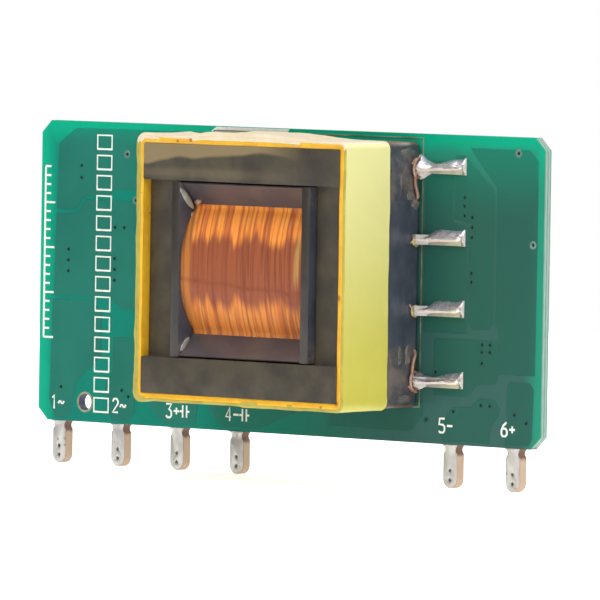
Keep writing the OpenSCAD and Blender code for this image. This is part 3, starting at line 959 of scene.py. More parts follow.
# pale solder: the floor's reflection on the lower faces, painted in as a matte cream
SOLDER_FLOOR_REFLECTION = Finish(
    "solder_painted_reflection", Slot.SOLDER, "#f8eae2", "#e8d8cc", 0.7, (0.35, 0.5), bump=0.015, grain=0.25, swell=2.0
)
LEAD = Finish("enamelled_lead", Slot.COPPER, "#b3927c", "#855f4c", 0.5, (0.22, 0.4), metallic=0.3, coat=0.5)
FLUX = Finish("dried_flux", Slot.SOLDER, "#c9b56a", "#8d7a3e", 0.5, (0.15, 0.3), coat=0.6, bump=0.01)
PACKAGE = Finish(
    "package_resin", Slot.PACKAGE, "#2c2d31", "#222327", 0.9, (0.42, 0.55), bump=0.012, grain=0.05
)
PRINT = Finish("package_print", Slot.PACKAGE, "#b9bcc0", "#a5a8ad", 0.3, (0.5, 0.6))
WHITE_RESIN = Finish(
    "white_resin", Slot.WHITE, "#e6e3d8", "#e0ddd0", 0.9, (0.45, 0.52), bump=0.006, grain=0.06
)
CERAMIC = Finish(
    "capacitor_ceramic", Slot.CAPACITOR, "#b58d64", "#9f7850", 0.6, (0.3, 0.42), bump=0.008, grain=0.05
)
GLAZE = Finish("resistor_glaze", Slot.RESISTOR, "#1f2024", "#17181b", 0.6, (0.2, 0.3), bump=0.005, grain=0.1)
ALUMINA = Finish(
    "resistor_alumina", Slot.RESISTOR, "#dcdcd6", "#cbcbc4", 0.4, (0.5, 0.6), bump=0.006, grain=0.05
)


# ---------------------------------------------------------------- board

GLYPHS: dict[str, list[list[Point]]] = {
    "1": [[(0.5, 3.2), (1.2, 4), (1.2, 0)]],
    "2": [[(0, 3.2), (0.5, 4), (1.5, 4), (2, 3.3), (2, 2.6), (0, 0), (2, 0)]],
    "3": [[(0, 4), (2, 4), (1, 2.4), (1.6, 2.2), (2, 1.6), (2, 0.6), (1.5, 0), (0.5, 0), (0, 0.6)]],
    "4": [[(1.5, 0), (1.5, 4), (0, 1.3), (2, 1.3)]],
    "5": [[(2, 4), (0.2, 4), (0, 2.3), (1.4, 2.3), (2, 1.7), (2, 0.6), (1.5, 0), (0.4, 0), (0, 0.4)]],
    "6": [[
        (1.8, 4), (0.6, 3), (0, 1.6), (0, 0.6), (0.5, 0), (1.5, 0), (2, 0.6), (2, 1.6), (1.5, 2.2),
        (0.2, 2.2),
    ]],
    "+": [[(1, 1), (1, 3)], [(0, 2), (2, 2)]],
    "-": [[(0, 2), (2, 2)]],
    "~": [[(-0.1, 1.6), (0.3, 2.3), (0.8, 2.3), (1.2, 1.7), (1.7, 1.7), (2.1, 2.4)]],
    "|": [[(-0.6, 2), (0.5, 2)], [(0.5, 0.2), (0.5, 3.8)], [(2, 0.2), (2, 3.8)], [(2, 2), (3.1, 2)]],
}
FRONT_AREAS: dict[str, list[Point]] = {
    "input_upper": [
        (-24.7, 17.6), (-24.5, 23.1), (-22.7, 24.4), (-9, 24.5), (-9, 19.4), (-18.4, 19.4), (-19, 18.8),
        (-21.6, 18.8), (-22.6, 17.6),
    ],
    "input_middle": [
        (-24.9, 10.4), (-24.7, 17.3), (-22.5, 17.3), (-21.5, 18.5), (-15.7, 18.5), (-15.7, 14.9), (-9, 14.9),
        (-9, 9.5), (-17.4, 9.5), (-18.8, 10.4),
    ],
    "neutral": [
        (-25.2, 1.7), (-25, 10.1), (-20.6, 10.1), (-19.6, 9.2), (-19.6, 5.6), (-21.2, 4.2), (-22.3, 3.4),
        (-22.7, 0.9), (-23.1, 0.25), (-24.6, 0.25),
    ],
    "live": [
        (-18.9, 1), (-19.2, 3.2), (-18.4, 4.4), (-18.4, 7.2), (-9, 7.2), (-9, 4.2), (-14.6, 4.2),
        (-15.9, 3.2), (-15.9, 1), (-16.6, 0.25), (-18.3, 0.25),
    ],
    "reservoir_positive": [(-14.4, 3.9), (-9.4, 3.9), (-8.9, 3.4), (-9.4, 0.25), (-12.9, 0.25), (-14.4, 1.7)],
    "reservoir_negative": [
        (-8, 4.5), (1.5, 4.5), (2.2, 3.8), (2.2, 2.2), (-2.6, 0.25), (-6.6, 0.25), (-8, 1.6),
    ],
    "output_return": [
        (17.3, 23.4), (18.28, 23.4), (21.2, 20.8), (21.4, 20.3), (21.4, 9.9), (20.9, 9.4), (19.2, 9.4),
        (18.9, 9.7), (18.9, 17.9), (17.3, 18.3),
    ],
    "output_inner": [(14.3, 22.9), (17.18, 22.9), (17.18, 18.02), (18.78, 17.62), (18.78, 9), (14.3, 9)],
    "snubber": [
        (15.4, 8.55), (21.6, 8.6), (21.95, 8.2), (21.95, 5.4), (21.6, 5.05), (19.9, 4.95), (19.3, 4.35),
        (18.9, 3.95), (15.4, 3.95),
    ],
    "negative_pad": [
        (15.9, 1.3), (17.4, 3.05), (19.3, 3.15), (20.1, 3.85), (21.6, 3.85), (22.2, 3.1), (22.1, 2.5),
        (21.3, 1.5), (21.2, 0.25), (16.4, 0.25),
    ],
    "positive_pad": [
        (22.7, 0.25), (25.2, 0.25), (25.5, 0.9), (25.6, 4.8), (25.2, 5.3), (23.2, 5.3), (22.9, 5),
        (22.9, 2.4),
    ],
    "output_positive": [
        (21.55, 10), (21.9, 9.4), (21.9, 5.9), (25.7, 5.9), (25.75, 23.1), (24.85, 24), (18.8, 24),
        (21.55, 20.9),
    ],
    "sense": [(4.5, 0.9), (13.2, 0.9), (14.4, 2.2), (14.4, 3.4), (4.5, 3.4)],
}
BACK_AREAS: dict[str, list[Point]] = {
    "drain": [
        (-25.6, 16.9), (-25.6, 23.4), (-24.6, 24.3), (-14.2, 24.3), (-13.4, 23.5), (-13.4, 17.9),
        (-14.4, 16.9),
    ],
    "clamp": [(-12.9, 18.4), (-12.9, 23.6), (-12.2, 24.3), (-5.5, 24.3), (-5.5, 16.2), (-11.9, 16.2)],
    "control": [(-25.6, 10.2), (-25.6, 16.4), (-16, 16.4), (-15.4, 15.8), (-15.4, 10.8), (-16, 10.2)],
    "neutral": [
        (-25.6, 0.9), (-25.6, 9.7), (-21.5, 9.7), (-21, 9.2), (-21, 3.6), (-22.4, 2.2), (-22.4, 0.25),
        (-25, 0.25),
    ],
    "live": [(-20.3, 3.1), (-20.3, 9.7), (-16.9, 9.7), (-16.4, 9.2), (-16.4, 0.25), (-19.2, 0.25)],
    "reservoir_positive": [
        (-15.8, 0.25), (-15.8, 5.8), (-15.2, 6.4), (-11.6, 6.4), (-9.2, 4.2), (-9.2, 0.25),
    ],
    "reservoir_negative": [
        (-8.6, 0.25), (-8.6, 4.6), (-11, 6.9), (-11, 10.6), (-1.6, 10.6), (-1, 10), (-1, 0.9), (-1.6, 0.25),
    ],
    "primary_return": [
        (-4.6, 14.9), (-4.6, 23.6), (-4, 24.3), (2.6, 24.3), (2.6, 18.9), (1.2, 17.5), (-2.2, 17.5),
    ],
    "output_negative": [(14.2, 0.25), (14.2, 7.9), (15.6, 9.3), (19.4, 9.3), (20.4, 8.3), (20.4, 0.25)],
    "output_positive": [
        (21, 0.25), (21, 9), (20.2, 9.8), (20.2, 15.4), (21, 16.2), (25.6, 16.2), (25.7, 0.9), (25, 0.25),
    ],
    "rectifier": [(14, 16.8), (14, 23.6), (14.7, 24.3), (24.8, 24.3), (25.6, 23.5), (25.6, 16.8)],
    "capacitors": [
        (15.4, 9.7), (14.4, 10.4), (14.4, 15.4), (15.2, 16.2), (19, 16.2), (19.6, 15.6), (19.6, 9.9),
    ],
}
OPEN_VIAS: list[Point] = [(-17.1, 22.4), (-16.1, 18.6), (23.7, 23.7), (25.3, 16.4)]


def inside(outline: Sequence[Point], at: Point) -> bool:
    """Return whether a point lies inside an outline."""
    hit = False
    for (x0, z0), (x1, z1) in zip(outline, [*outline[1:], outline[0]]):
        if (z0 > at[1]) != (z1 > at[1]) and at[0] < (x1 - x0) * (at[1] - z0) / (z1 - z0) + x0:
            hit = not hit
    return hit


@dataclass
class Board:
    """The circuit board: laminate, solder mask, copper under it, vias and printed marks.

    Attributes:
        shop: Makes the pieces.
        mask_t: Thickness of the solder mask.
        copper_t: Height of a copper area under the mask.
        proud: How far a via's ring and the hole's rim stand above what is round them.
        via_r: Largest radius of a via.
        ring: Width of a via's ring that is covered by the mask.
        open_ring: Width of a via's ring that is bare.
        rim: Width of the locating hole's bare rim.
        bore: Radius of the opening in a via's ring, against the via's.
        dark_core: Radius of the dark core inside a via, against the via's.
        sunk: How far the dark core lies below each face.
        ink_w: Width of a printed line.
        ink_t: Thickness of the ink's round.
        ink_y: Height of the ink's middle above the board.
        glyph: Size of one unit of a printed sign.
        boxes: Number of tick boxes.
        box_x: Left and right side of the tick boxes.
        box_z: Foot of the lowest tick box.
        box_h: Height of a tick box.
        box_pitch: Distance between tick boxes.
        rule: Lower end of the rule.
        ticks: Number of the rule's ticks.
        tick_w: Length of a short and of a long tick.
        tick_pitch: Distance between the rule's ticks.
    """

    shop: Workshop
    mask_t: float = 0.02
    copper_t: float = 0.035
    proud: float = 0.012
    via_r: float = 0.5
    ring: float = 0.12
    open_ring: float = 0.2
    rim: float = 0.16
    bore: float = 0.92
    dark_core: float = 0.99
    sunk: float = 0.08
    ink_w: float = 0.2
    ink_t: float = 0.07
    ink_y: float = 0.045
    glyph: float = 0.28
    boxes: int = 14
    box_x: Point = (-20.3, -18.75)
    box_z: float = 0.9
    box_h: float = 1.15
    box_pitch: float = 1.68
    rule: Point = (-25.9, 6.9)
    ticks: int = 20
    tick_w: Point = (0.6, 1.05)
    tick_pitch: float = 0.75

    def __post_init__(self) -> None:
        """Read the board's faces and holes from the frame."""
        self.low, self.high = self.shop.corners("circuit_board")
        self.holes = self.find_holes()

    def level(self, side: Side, height: float = 0.0) -> float:
        """Return the depth of a height above one face of the bare board."""
        return (self.high.y if side is Side.BACK else self.low.y) + side.value * height

    def find_holes(self) -> list[tuple[Point, float]]:
        """Return the centre and radius of each round hole above the terminals."""
        bm = self.shop.copy("circuit_board")
        bmesh.ops.delete(bm, geom=[f for f in bm.faces if abs(f.normal.y) > 0.5], context="FACES")
        found = []
        for wall in islands(bm):
            low, high = span(wall)
            if high.x - low.x < 3 and low.z > 0:
                found.append((((low.x + high.x) / 2, (low.z + high.z) / 2), (high.x - low.x) / 2))
        bm.free()
        return found

    def build(self) -> None:
        """Make all the board's pieces."""
        self.shop.dress("circuit_board", LAMINATE)
        for side, areas in ((Side.FRONT, FRONT_AREAS), (Side.BACK, BACK_AREAS)):
            self.cover(side)
            self.copper(side, areas.values())
        self.vias()
        self.locating_hole()
        self.terminals()
        self.front_legend()

    def cover(self, side: Side) -> None:
        """Make the solder mask of one face."""
        bm = self.shop.copy("circuit_board")
        everything = bm.verts[:] + bm.edges[:] + bm.faces[:]
        bmesh.ops.bisect_plane(
            bm, geom=everything, plane_co=(0, 0, 0.02), plane_no=(0, 0, 1), clear_inner=True
        )
        other = [f for f in bm.faces if f.normal.y * side.value < 0.5]
        bmesh.ops.delete(bm, geom=other, context="FACES")
        bmesh.ops.translate(bm, vec=(0, side.value * self.mask_t, 0), verts=double(bm))
        bmesh.ops.recalc_face_normals(bm, faces=bm.faces)
        self.shop.piece(f"solder_mask_{side.name.lower()}", bm, [MASK])

    def copper(self, side: Side, outlines: Iterable[list[Point]]) -> None:
        """Make the raised copper areas under the mask of one face."""
        y0, y1 = self.level(side, self.mask_t / 2), self.level(side, self.mask_t + self.copper_t)
        plates = []
        for outline in outlines:
            holes = [ring_points(at, radius) for at, radius in self.holes if inside(outline, at)]
            plates.append(plate(outline, y0, y1, holes, edge=0.03))
        self.shop.piece(f"copper_areas_{side.name.lower()}", merge(*plates), [MASK_OVER_COPPER])

    def vias(self) -> None:
        """Make the ring and the dark bore of each via."""
        parts = []
        height = self.mask_t + self.copper_t + self.proud
        for at, radius in self.holes:
            if radius > self.via_r:
                continue
            is_open = any(math.dist(at, spot) < 0.1 for spot in OPEN_VIAS)
            outer = ring_points(at, radius + (self.open_ring if is_open else self.ring))
            for side in Side:
                bore = ring_points(at, radius * self.bore)
                ring = plate(outer, self.level(side), self.level(side, height), [bore], edge=0.02)
                parts.append(paint(ring, int(is_open)))
            dark_core = ring_points(at, radius * self.dark_core, 12)
            parts.append(paint(plate(dark_core, self.low.y + self.sunk, self.high.y - self.sunk), 2))
        self.shop.piece("vias", merge(*parts), [MASK_OVER_COPPER, VIA_RING, VIA])

    def locating_hole(self) -> None:
        """Make the dark wall and the bare rim of the locating hole."""
        at, radius = max(self.holes, key=lambda hole: hole[1])

        def circle(more: float) -> list[Point]:
            """Return a circle round the hole, a little larger or smaller."""
            return ring_points(at, radius + more, 40)

        parts = [plate(circle(0), self.low.y, self.high.y, [circle(-0.03)])]
        for side in Side:
            height = self.mask_t + self.proud
            outer, inner = circle(self.rim), circle(-0.01)
            rim = plate(outer, self.level(side), self.level(side, height), [inner], edge=0.01)
            parts.append(paint(rim, 1))
        self.shop.piece("locating_hole_rim", merge(*parts), [HOLE_WALL, HOLE_RIM])

    def terminals(self) -> None:
        """Make the tinned skin of each terminal."""
        for name in sorted(n for n in self.shop.nodes if n.startswith("terminal_")):
            self.shop.piece(f"tinned_{name}", soften(self.shop.copy(name), 0.035), [TIN], replaces=[name])

    def line(self, points: Sequence[Point], side: Side = Side.FRONT, width: float = 0.0) -> BMesh:
        """Make one printed line through points on a face."""
        width = width or self.ink_w
        bm = thread([(x, 0, z) for x, z in points], width / 2, smooth=False, sides=1)
        bmesh.ops.scale(bm, vec=(1, self.ink_t / width, 1), verts=bm.verts)
        bmesh.ops.translate(bm, vec=(0, self.level(side, self.ink_y), 0), verts=bm.verts)
        return bm

    def sign(self, text: str, x: float, z: float) -> list[BMesh]:
        """Make a row of signs whose lower left corner is at x, z."""
        lines = []
        for index, letter in enumerate(text):
            left = x + index * 2.9 * self.glyph
            for stroke in GLYPHS[letter]:
                lines.append(self.line([(left + u * self.glyph, z + v * self.glyph) for u, v in stroke]))
        return lines

    def frame(self, low: Point, high: Point, side: Side = Side.FRONT, width: float = 0.0) -> BMesh:
        """Make a printed rectangle."""
        (x0, z0), (x1, z1) = low, high
        return self.line([(x0, z0), (x1, z0), (x1, z1), (x0, z1), (x0, z0), (x1, z0)], side, width)

    def front_legend(self) -> None:
        """Print the terminal marks, the ladder of tick boxes, the rule and the transformer's outline."""
        marks = {
            "ac_neutral": ("1~", -0.95, 0.95), "ac_live": ("2~", -0.6, 0.95),
            "reservoir_positive": ("3+|", -1.2, 0.8), "reservoir_negative": ("4-|", -1.2, 0.8),
            "output_negative": ("5-", -1.2, 0.95), "output_positive": ("6+", -1.2, 0.95),
        }
        lines = []
        for name, (text, shift, z) in marks.items():
            low, high = self.shop.corners(f"terminal_{name}")
            lines += self.sign(text, (low.x + high.x) / 2 + shift, z)
        for index in range(self.boxes):
            z = self.box_z + index * self.box_pitch
            lines.append(self.frame((self.box_x[0], z), (self.box_x[1], z + self.box_h)))
        x, foot = self.rule
        for index in range(self.ticks):
            z = foot + index * self.tick_pitch
            lines.append(self.line([(x, z), (x + self.tick_w[index % 5 == 0], z)]))
        lines.append(self.line([(x, foot), (x, foot + (self.ticks - 1) * self.tick_pitch)]))
        low, high = self.shop.corners("core_tape")
        # the outline round the transformer is printed in ink darkened by painted shadow
        worn = self.frame((low.x, low.z + 0.1), (high.x + 0.25, high.z + 0.25), width=0.16)
        patch = [(-8.2, 24.55), (-7.6, 24.95), (0.1, 24.95), (-0.2, 24.5)]
        top = plate(patch, self.level(Side.FRONT), self.level(Side.FRONT, 0.06), edge=0.02)
        self.shop.piece("printed_legend_front", merge(top, paint(worn, 1), *lines), [INK, INK_IN_PAINTED_SHADOW])


# ---------------------------------------------------------------- transformer

# Stations of a solder joint: distance from the block, then the lowest, the ridge's and the highest
# level, then the depth of the foot and of the ridge.
CONE: list[tuple[float, ...]] = [
    (0.02, -0.95, 0.2, 1.15, 0.06, 1.2), (0.4, -0.85, 0.15, 1.0, 0.08, 1.25),
    (0.8, -0.6, 0.08, 0.72, 0.1, 1.15),
]
NECK: list[tuple[float, ...]] = [
    (1.2, -0.42, 0.02, 0.5, 0.1, 1.0), (1.6, -0.36, 0.0, 0.4, 0.08, 0.9),
    (2.0, -0.38, 0.05, 0.46, 0.04, 0.85), (2.6, -0.42, 0.1, 0.62, 0.02, 0.8),
    (3.3, -0.43, 0.12, 0.78, 0.02, 0.78),
]
PLAIN: list[tuple[float, ...]] = [
    (0.02, -0.42, 0.0, 0.3, 0.4, 0.98), (0.5, -0.42, -0.02, 0.27, 0.35, 0.98),
    (0.9, -0.42, 0.05, 0.32, 0.2, 1.08), (1.3, -0.42, 0.1, 0.52, 0.08, 1.08),
    (1.7, -0.42, 0.12, 0.76, 0.04, 0.95), (2.2, -0.42, 0.12, 0.86, 0.02, 0.86),
    (2.8, -0.42, 0.1, 0.84, 0.02, 0.8), (3.4, -0.42, 0.1, 0.8, 0.02, 0.76),
]
TIP: list[tuple[float, ...]] = [(4.0, -0.43, 0.1, 0.82, 0.02, 0.74), (4.35, -0.44, 0.12, 0.87, 0.02, 0.7)]
# Routes of the wires beside the block: distance from its face, depth, and height towards the end.
COIL_END: list[tuple[float, float, float]] = [
    (-1.0, -0.7, -2.6), (-0.1, -0.45, -2.55), (0.14, -0.45, -2.4), (0.18, -0.7, -1.9),
    (0.2, -0.95, -1.3), (0.2, -1.0, -0.7), (0.24, -0.85, -0.1), (0.3, -0.7, 0.5),
]
FINE_WIRE: list[tuple[float, float, float]] = [
    (0.02, -1.25, 1.0), (0.05, -1.15, 0.8), (0.08, -1.0, 0.1), (0.1, -0.85, 0.0),
]


@dataclass
class Transformer:
    """The wound transformer, in its own frame: X along the board, -Y outwards, Z up.

    Attributes:
        shop: Makes the pieces.
        tape_turns: Turns of yellow tape round the core.
        tape_step: Thickness of the last turn's end.
        tape_end: Where that end lies, as a share of the way round.
        belt_steps: Facets round the belt.
        crown: Half depth of the coil at its middle.
        shoulder: Height where the coil's round ends start.
        end_r: Radius of the coil's round ends.
        coil_half: Half length of the coil.
        turns: Number of turns that show.
        turn_steps: Facets across one turn.
        coil_steps: Facets round the coil.
        leg_y: Depth of the coil's axis.
        row_pitch: Distance between rows of pins.
        tape_t: Thickness of the varnished tape.
        end_wire: Radius of a coil's end.
        wrap_wire: Radius of its turns round a pin.
        fine_wire: Radius of a frayed wire.
    """

    shop: Workshop
    tape_turns: int = 3
    tape_step: float = 0.06
    tape_end: float = 0.87
    belt_steps: int = 460
    crown: float = 3.2
    shoulder: float = 5.0
    end_r: float = 1.4
    coil_half: float = 6.35
    turns: int = 17
    turn_steps: int = 7
    coil_steps: int = 120
    leg_y: float = -6.4
    row_pitch: float = 5.75
    tape_t: float = 0.12
    end_wire: float = 0.15
    wrap_wire: float = 0.12
    fine_wire: float = 0.07

    def __post_init__(self) -> None:
        """Read the transformer's place and main sizes from the frame."""
        low, high = self.shop.corners("core_tape")
        board = self.shop.corners("circuit_board")[0]
        self.origin = Vector(((low.x + high.x) / 2, board.y, (low.z + high.z) / 2))
        self.outer = (high.x - low.x) / 2
        self.front = low.y - board.y
        self.back = high.y - board.y
        core = self.shop.corners("core_left")
        self.core_half = (core[1].z - core[0].z) / 2
        self.pin_end = self.shop.corners("transformer_pin_1")[1].x - self.origin.x

    def placed(self, bm: BMesh) -> BMesh:
        """Return a bmesh of the transformer's frame in its place on the board."""
        bmesh.ops.translate(bm, vec=self.origin, verts=bm.verts)
        return bm

    def build(self) -> None:
        """Make all the transformer's pieces."""
        self.core()
        self.belt()
        self.bobbin()
        self.coil()
        self.skirts()
        self.drops()
        self.pins()
        self.leads()

    def core(self) -> None:
        """Soften the edges of the two core halves, but not where they are glued together."""
        def glued(edge: BMEdge) -> bool:
            """Return whether an edge lies where the halves meet."""
            return all(abs(v.co.x - self.origin.x) < 0.01 for v in edge.verts)

        for name in ("core_left", "core_right"):
            self.shop.piece(
                f"ferrite_{name}", soften(self.shop.copy(name), 0.14, glued), [FERRITE], replaces=[name]
            )

    def bobbin(self) -> None:
        """Soften the bobbin and coat the front edges of its flanges."""
        bm = soften(self.shop.copy("bobbin"), 0.1)
        front = self.origin.y + self.front + 0.3
        paint(bm, 1, lambda face: face.normal.y < -0.7 and face.calc_center_median().y < front)
        self.shop.piece("moulded_bobbin", bm, [BOBBIN, FLANGE], replaces=["bobbin"])

    def square(self, share: float, half: float, radius: float) -> tuple[Vector, Vector]:
        """Return a point on a rounded square and the way out of it.

        Args:
            share: Part of the way round from the middle of the lower left corner, from 0 to 1.
            half: Half size of the square.
            radius: Radius of its corners.

        Returns:
            The point and the outward direction, both in the X, Z plane.
        """
        side = 2 * (half - radius)
        arc = math.pi * radius / 2
        along = (share % 1.0) * 4 * (side + arc) + arc / 2
        quarter, along = divmod(along, side + arc)
        if along < arc:
            angle = math.pi + (math.pi / 2) * (1 - along / arc)
            out = Vector((math.cos(angle), 0, math.sin(angle)))
            spot = Vector((radius - half, 0, radius - half)) + out * radius
        else:
            out = Vector((-1, 0, 0))
            spot = Vector((-half, 0, radius - half + along - arc))
        spin = Matrix.Rotation(math.pi * 0.5 * quarter, 3, "Y")
        return spin @ spot, spin @ out

    def belt_lift(self, spot: Vector) -> float:
        """Return how far the outside of the belt stands off at a place round the core."""
        x, z = spot.x, spot.z
        top = 0.42 * step(z, 9.0, 10.0) * step(x, -6.0, -3.2) * step(x, 8.5, 1.0)
        puff = 0.3 * math.exp(-((x + 9.6) ** 2 + (z - 9.8) ** 2) / 1.2)
        left = 0.1 * step(x, -9.5, -10.1) * (1 + ripple((0, 0, z), 1.6, 3))
        corner = 0.16 * math.exp(-((x + 10.0) ** 2 + (z + 9.6) ** 2) / 0.8)
        low = 0.05 * step(z, -9.6, -10.1) * (1 + ripple((x, 0, 0), 2.0, 5))
        return top + puff + left + corner + low

    def belt(self) -> None:
        """Wind the yellow tape round the core, each turn over the last."""
        deep = self.back - self.front
        seams = [turn / self.tape_turns for turn in range(1, self.tape_turns)]
        across = [0.0, 0.06, *[seam + way for seam in seams for way in (-0.03, 0.0, 0.03)], 0.8, 0.94, 1.0]
        # the belt's section, as shares of its thickness and of its width
        profile = [
            *[(share, 0.0) for share in across],
            *[(1.0, share) for share in (0.02, 0.05, 0.2, 0.4, 0.6, 0.8, 0.95, 0.98, 1.0)],
            *[(0.0, share) for share in (1.0, 0.7, 0.4, 0.1, 0.03)],
        ]

        def place(u: float, v: float) -> Vector:
            """Return the point of the belt at u round the core and v round the section."""
            out_share, along = profile[round(v * len(profile)) % len(profile)]
            half = self.core_half + (self.outer - self.core_half) * out_share
            spot, out = self.square(u, half, 0.15 + 0.5 * out_share)
            lift = self.belt_lift(spot) + self.tape_step * ((u - self.tape_end) % 1.0)
            rough = 0.025 * ripple((spot.x, along * 4, spot.z), 1.1, 7)
            where = spot + out * out_share * (lift * (1 - 0.3 * math.sin(math.pi * along)) + rough)
            wave = 0.05 * ripple((spot.x, 0, spot.z), 2.5, 11)
            rounding = 0.05 * (2 * out_share - 1) ** 4
            groove = 0.025 if any(abs(out_share - seam) < 0.01 for seam in seams) else 0.0
            inset = 0.06 + wave + rounding + groove
            where.y = self.front + inset + (deep - 2 * inset) * along
            return where

        bm = seal(sheet(self.belt_steps, len(profile), place))
        # top faces and the upper front rim get the tape in painted light from above, the lower front rim a
        # darker copy
        for face in bm.faces:
            middle = face.calc_center_median()
            reach = max(abs(middle.x), abs(middle.z))
            if face.normal.y < -0.5:
                outer = 3 if middle.z > self.core_half else 2
                rim = 0.2 if middle.x < -self.core_half else 0.36
                face.material_index = 1 if reach < self.core_half + rim else outer
            elif reach < self.core_half + 0.02:
                face.material_index = 1
            elif face.normal.z > 0.7:
                face.material_index = 3
        finishes = [YELLOW, GOLD, LIME, LIT_TAPE]
        self.shop.piece("yellow_belt", self.placed(bm), finishes, replaces=["core_tape"], crease=50)

    def depth(self, z: float) -> float:
        """Return the half depth of the coil at a height."""
        z = abs(z)
        if z <= self.shoulder:
            return self.crown - (self.crown - self.end_r) * (z / self.shoulder) ** 2.5
        return math.sqrt(max(self.end_r**2 - (z - self.shoulder) ** 2, 0.0))

    def coil(self) -> None:
        """Wind the coil's outer turns as one skin, each turn with its own height and place."""
        reach = self.shoulder + self.end_r

        def place(u: float, v: float) -> Vector:
            """Return the point of the coil at u along it and v round it."""
            along = u * self.turns
            turn = math.floor(along)
            drift = 0.25 * ripple((turn, 0, 0), 1.3, 17)
            height = 0.045 * ripple((turn, v * 2, 0), 1.7, 19)
            round_top = math.sqrt(max(1 - (2 * (along - turn) - 1) ** 2, 0.0))
            angle = 2 * math.pi * v
            z = reach * math.sin(angle)
            out = self.depth(z) * (1 if math.cos(angle) >= 0 else -1)
            bow = AMBER.bow * (abs(out) - self.end_r) * (1 - (2 * u - 1) ** 4)
            lean = drift * 0.15 * math.sin(angle) + bow * (1 if out > 0 else -1)
            crease = -0.82 - 0.76 * u
            tape = 0.05 * step(z, crease, crease - 0.12) if out > 0 else 0.0
            way = Vector((0, -out, z * 0.6)).normalized()
            flat = Vector((self.coil_half * (2 * u - 1) + lean, self.leg_y - out, z))
            return flat + way * (0.06 * round_top + height - 0.09 + tape)

        bm = seal(sheet(self.turns * self.turn_steps, self.coil_steps, place))
        self.shop.piece("amber_coil", self.placed(bm), [AMBER], crease=180)
        self.shop.dress("primary_winding", COPPER)
        self.shop.dress("secondary_winding", COPPER)
        self.shop.dress("winding_insulation", YELLOW)

    def skirts(self) -> None:
        """Draw the dark tape from the coil's ends out to the core bars, back and front, with a dark block
        between coil and bar.
        """
        parts = []
        for end in (-1, 1):
            def place(u: float, v: float) -> Vector:
                """Return the point of the skirt at u along it and v towards the bar."""
                x = self.coil_half * (2 * u - 1)
                edge = step(abs(x), self.coil_half - 0.7, self.coil_half)
                out = 1.28 + 1.85 * v**1.15 + 0.18 * edge * (1 - v) + 0.03 * ripple((x, v, end), 1.5, 23)
                return Vector((x, self.leg_y - out, end * (5.35 + 1.72 * v)))
            wall = sheet(60, 14, place)
            bmesh.ops.recalc_face_normals(wall, faces=wall.faces)
            bmesh.ops.solidify(wall, geom=wall.faces[:], thickness=self.tape_t)
            bmesh.ops.recalc_face_normals(wall, faces=wall.faces)
            z0, z1 = sorted((end * 6.2, end * 7.05))
            low = (-self.coil_half, self.leg_y - 1.2, z0)
            parts += [wall, block(low, (self.coil_half, self.leg_y + 1.2, z1), edge=0.05)]
        self.shop.piece(
            "dark_tape_skirts", self.placed(merge(*parts)), [SKIRT], replaces=["coil_tape"], crease=60
        )

    def blob(
        self, at: Sequence[float], size: Sequence[float], seed: float, rough: float, tilt: float = 0.0
    ) -> BMesh:
        """Make an uneven drop.

        Args:
            at: Its middle.
            size: Its half sizes.
            seed: Gives each drop its own form.
            rough: Unevenness against its size.
            tilt: Turn about X in degrees.

        Returns:
            The drop.
        """
        bm = bmesh.new()
        bmesh.ops.create_icosphere(bm, subdivisions=4, radius=1)
        turn = Matrix.Rotation(math.radians(tilt), 3, "X")
        for vert in bm.verts:
            swell = 1 + rough * ripple(vert.co, 0.8, seed) + rough * 0.4 * ripple(vert.co, 0.35, seed)
            vert.co = turn @ Vector([vert.co[i] * swell * size[i] for i in range(3)]) + Vector(at)
        return bm

    def drops(self) -> None:
        """Add the drops and runs of varnish on the bobbin and in the corners of the window, the window's pale
        drops with a painted highlight.
        """
        # each run on the block's face: its depth and height, then its half sizes
        runs = [
            ((-1.35, 6.45), (0.08, 0.45, 0.4)), ((-0.6, 5.7), (0.12, 0.5, 0.4)),
            ((-2.5, 7.6), (0.03, 0.16, 0.6)),
            ((-1.7, 9.9), (0.05, 0.9, 0.3)), ((-1.35, -6.5), (0.08, 0.35, 0.8)),
            ((-2.4, -6.6), (0.04, 0.22, 0.7)), ((-1.6, -10.0), (0.05, 0.9, 0.3)),
        ]
        # each pale drop, varnish with a painted highlight: its middle, its half sizes, and its tilt
        clear = [
            ((-6.3, -8.9, 5.75), (0.16, 0.3, 1.22), 45), ((-6.3, -8.0, 4.2), (0.08, 0.3, 0.45), 30),
            ((-6.3, -8.9, -6.1), (0.12, 0.28, 0.75), -45), ((6.3, -8.4, 5.6), (0.12, 0.12, 0.12), 0),
        ]
        thick = [self.blob((self.outer, *at), size, i * 2.3, 0.35) for i, (at, size) in enumerate(runs)]
        thin = [self.blob(at, size, 40 + i * 1.9, 0.1, tilt) for i, (at, size, tilt) in enumerate(clear)]
        ball = [self.blob((-5.8, -8.05, 5.5), (0.33, 0.33, 0.33), 3.1, 0.08)]
        for name, finish, blobs in (
            ("varnish_runs", VARNISH, thick), ("varnish_drop_highlights", DROP_HIGHLIGHT, thin),
            ("bare_wire_loop", LEAD, ball),
        ):
            self.shop.piece(name, self.placed(merge(*blobs)), [finish], crease=180)

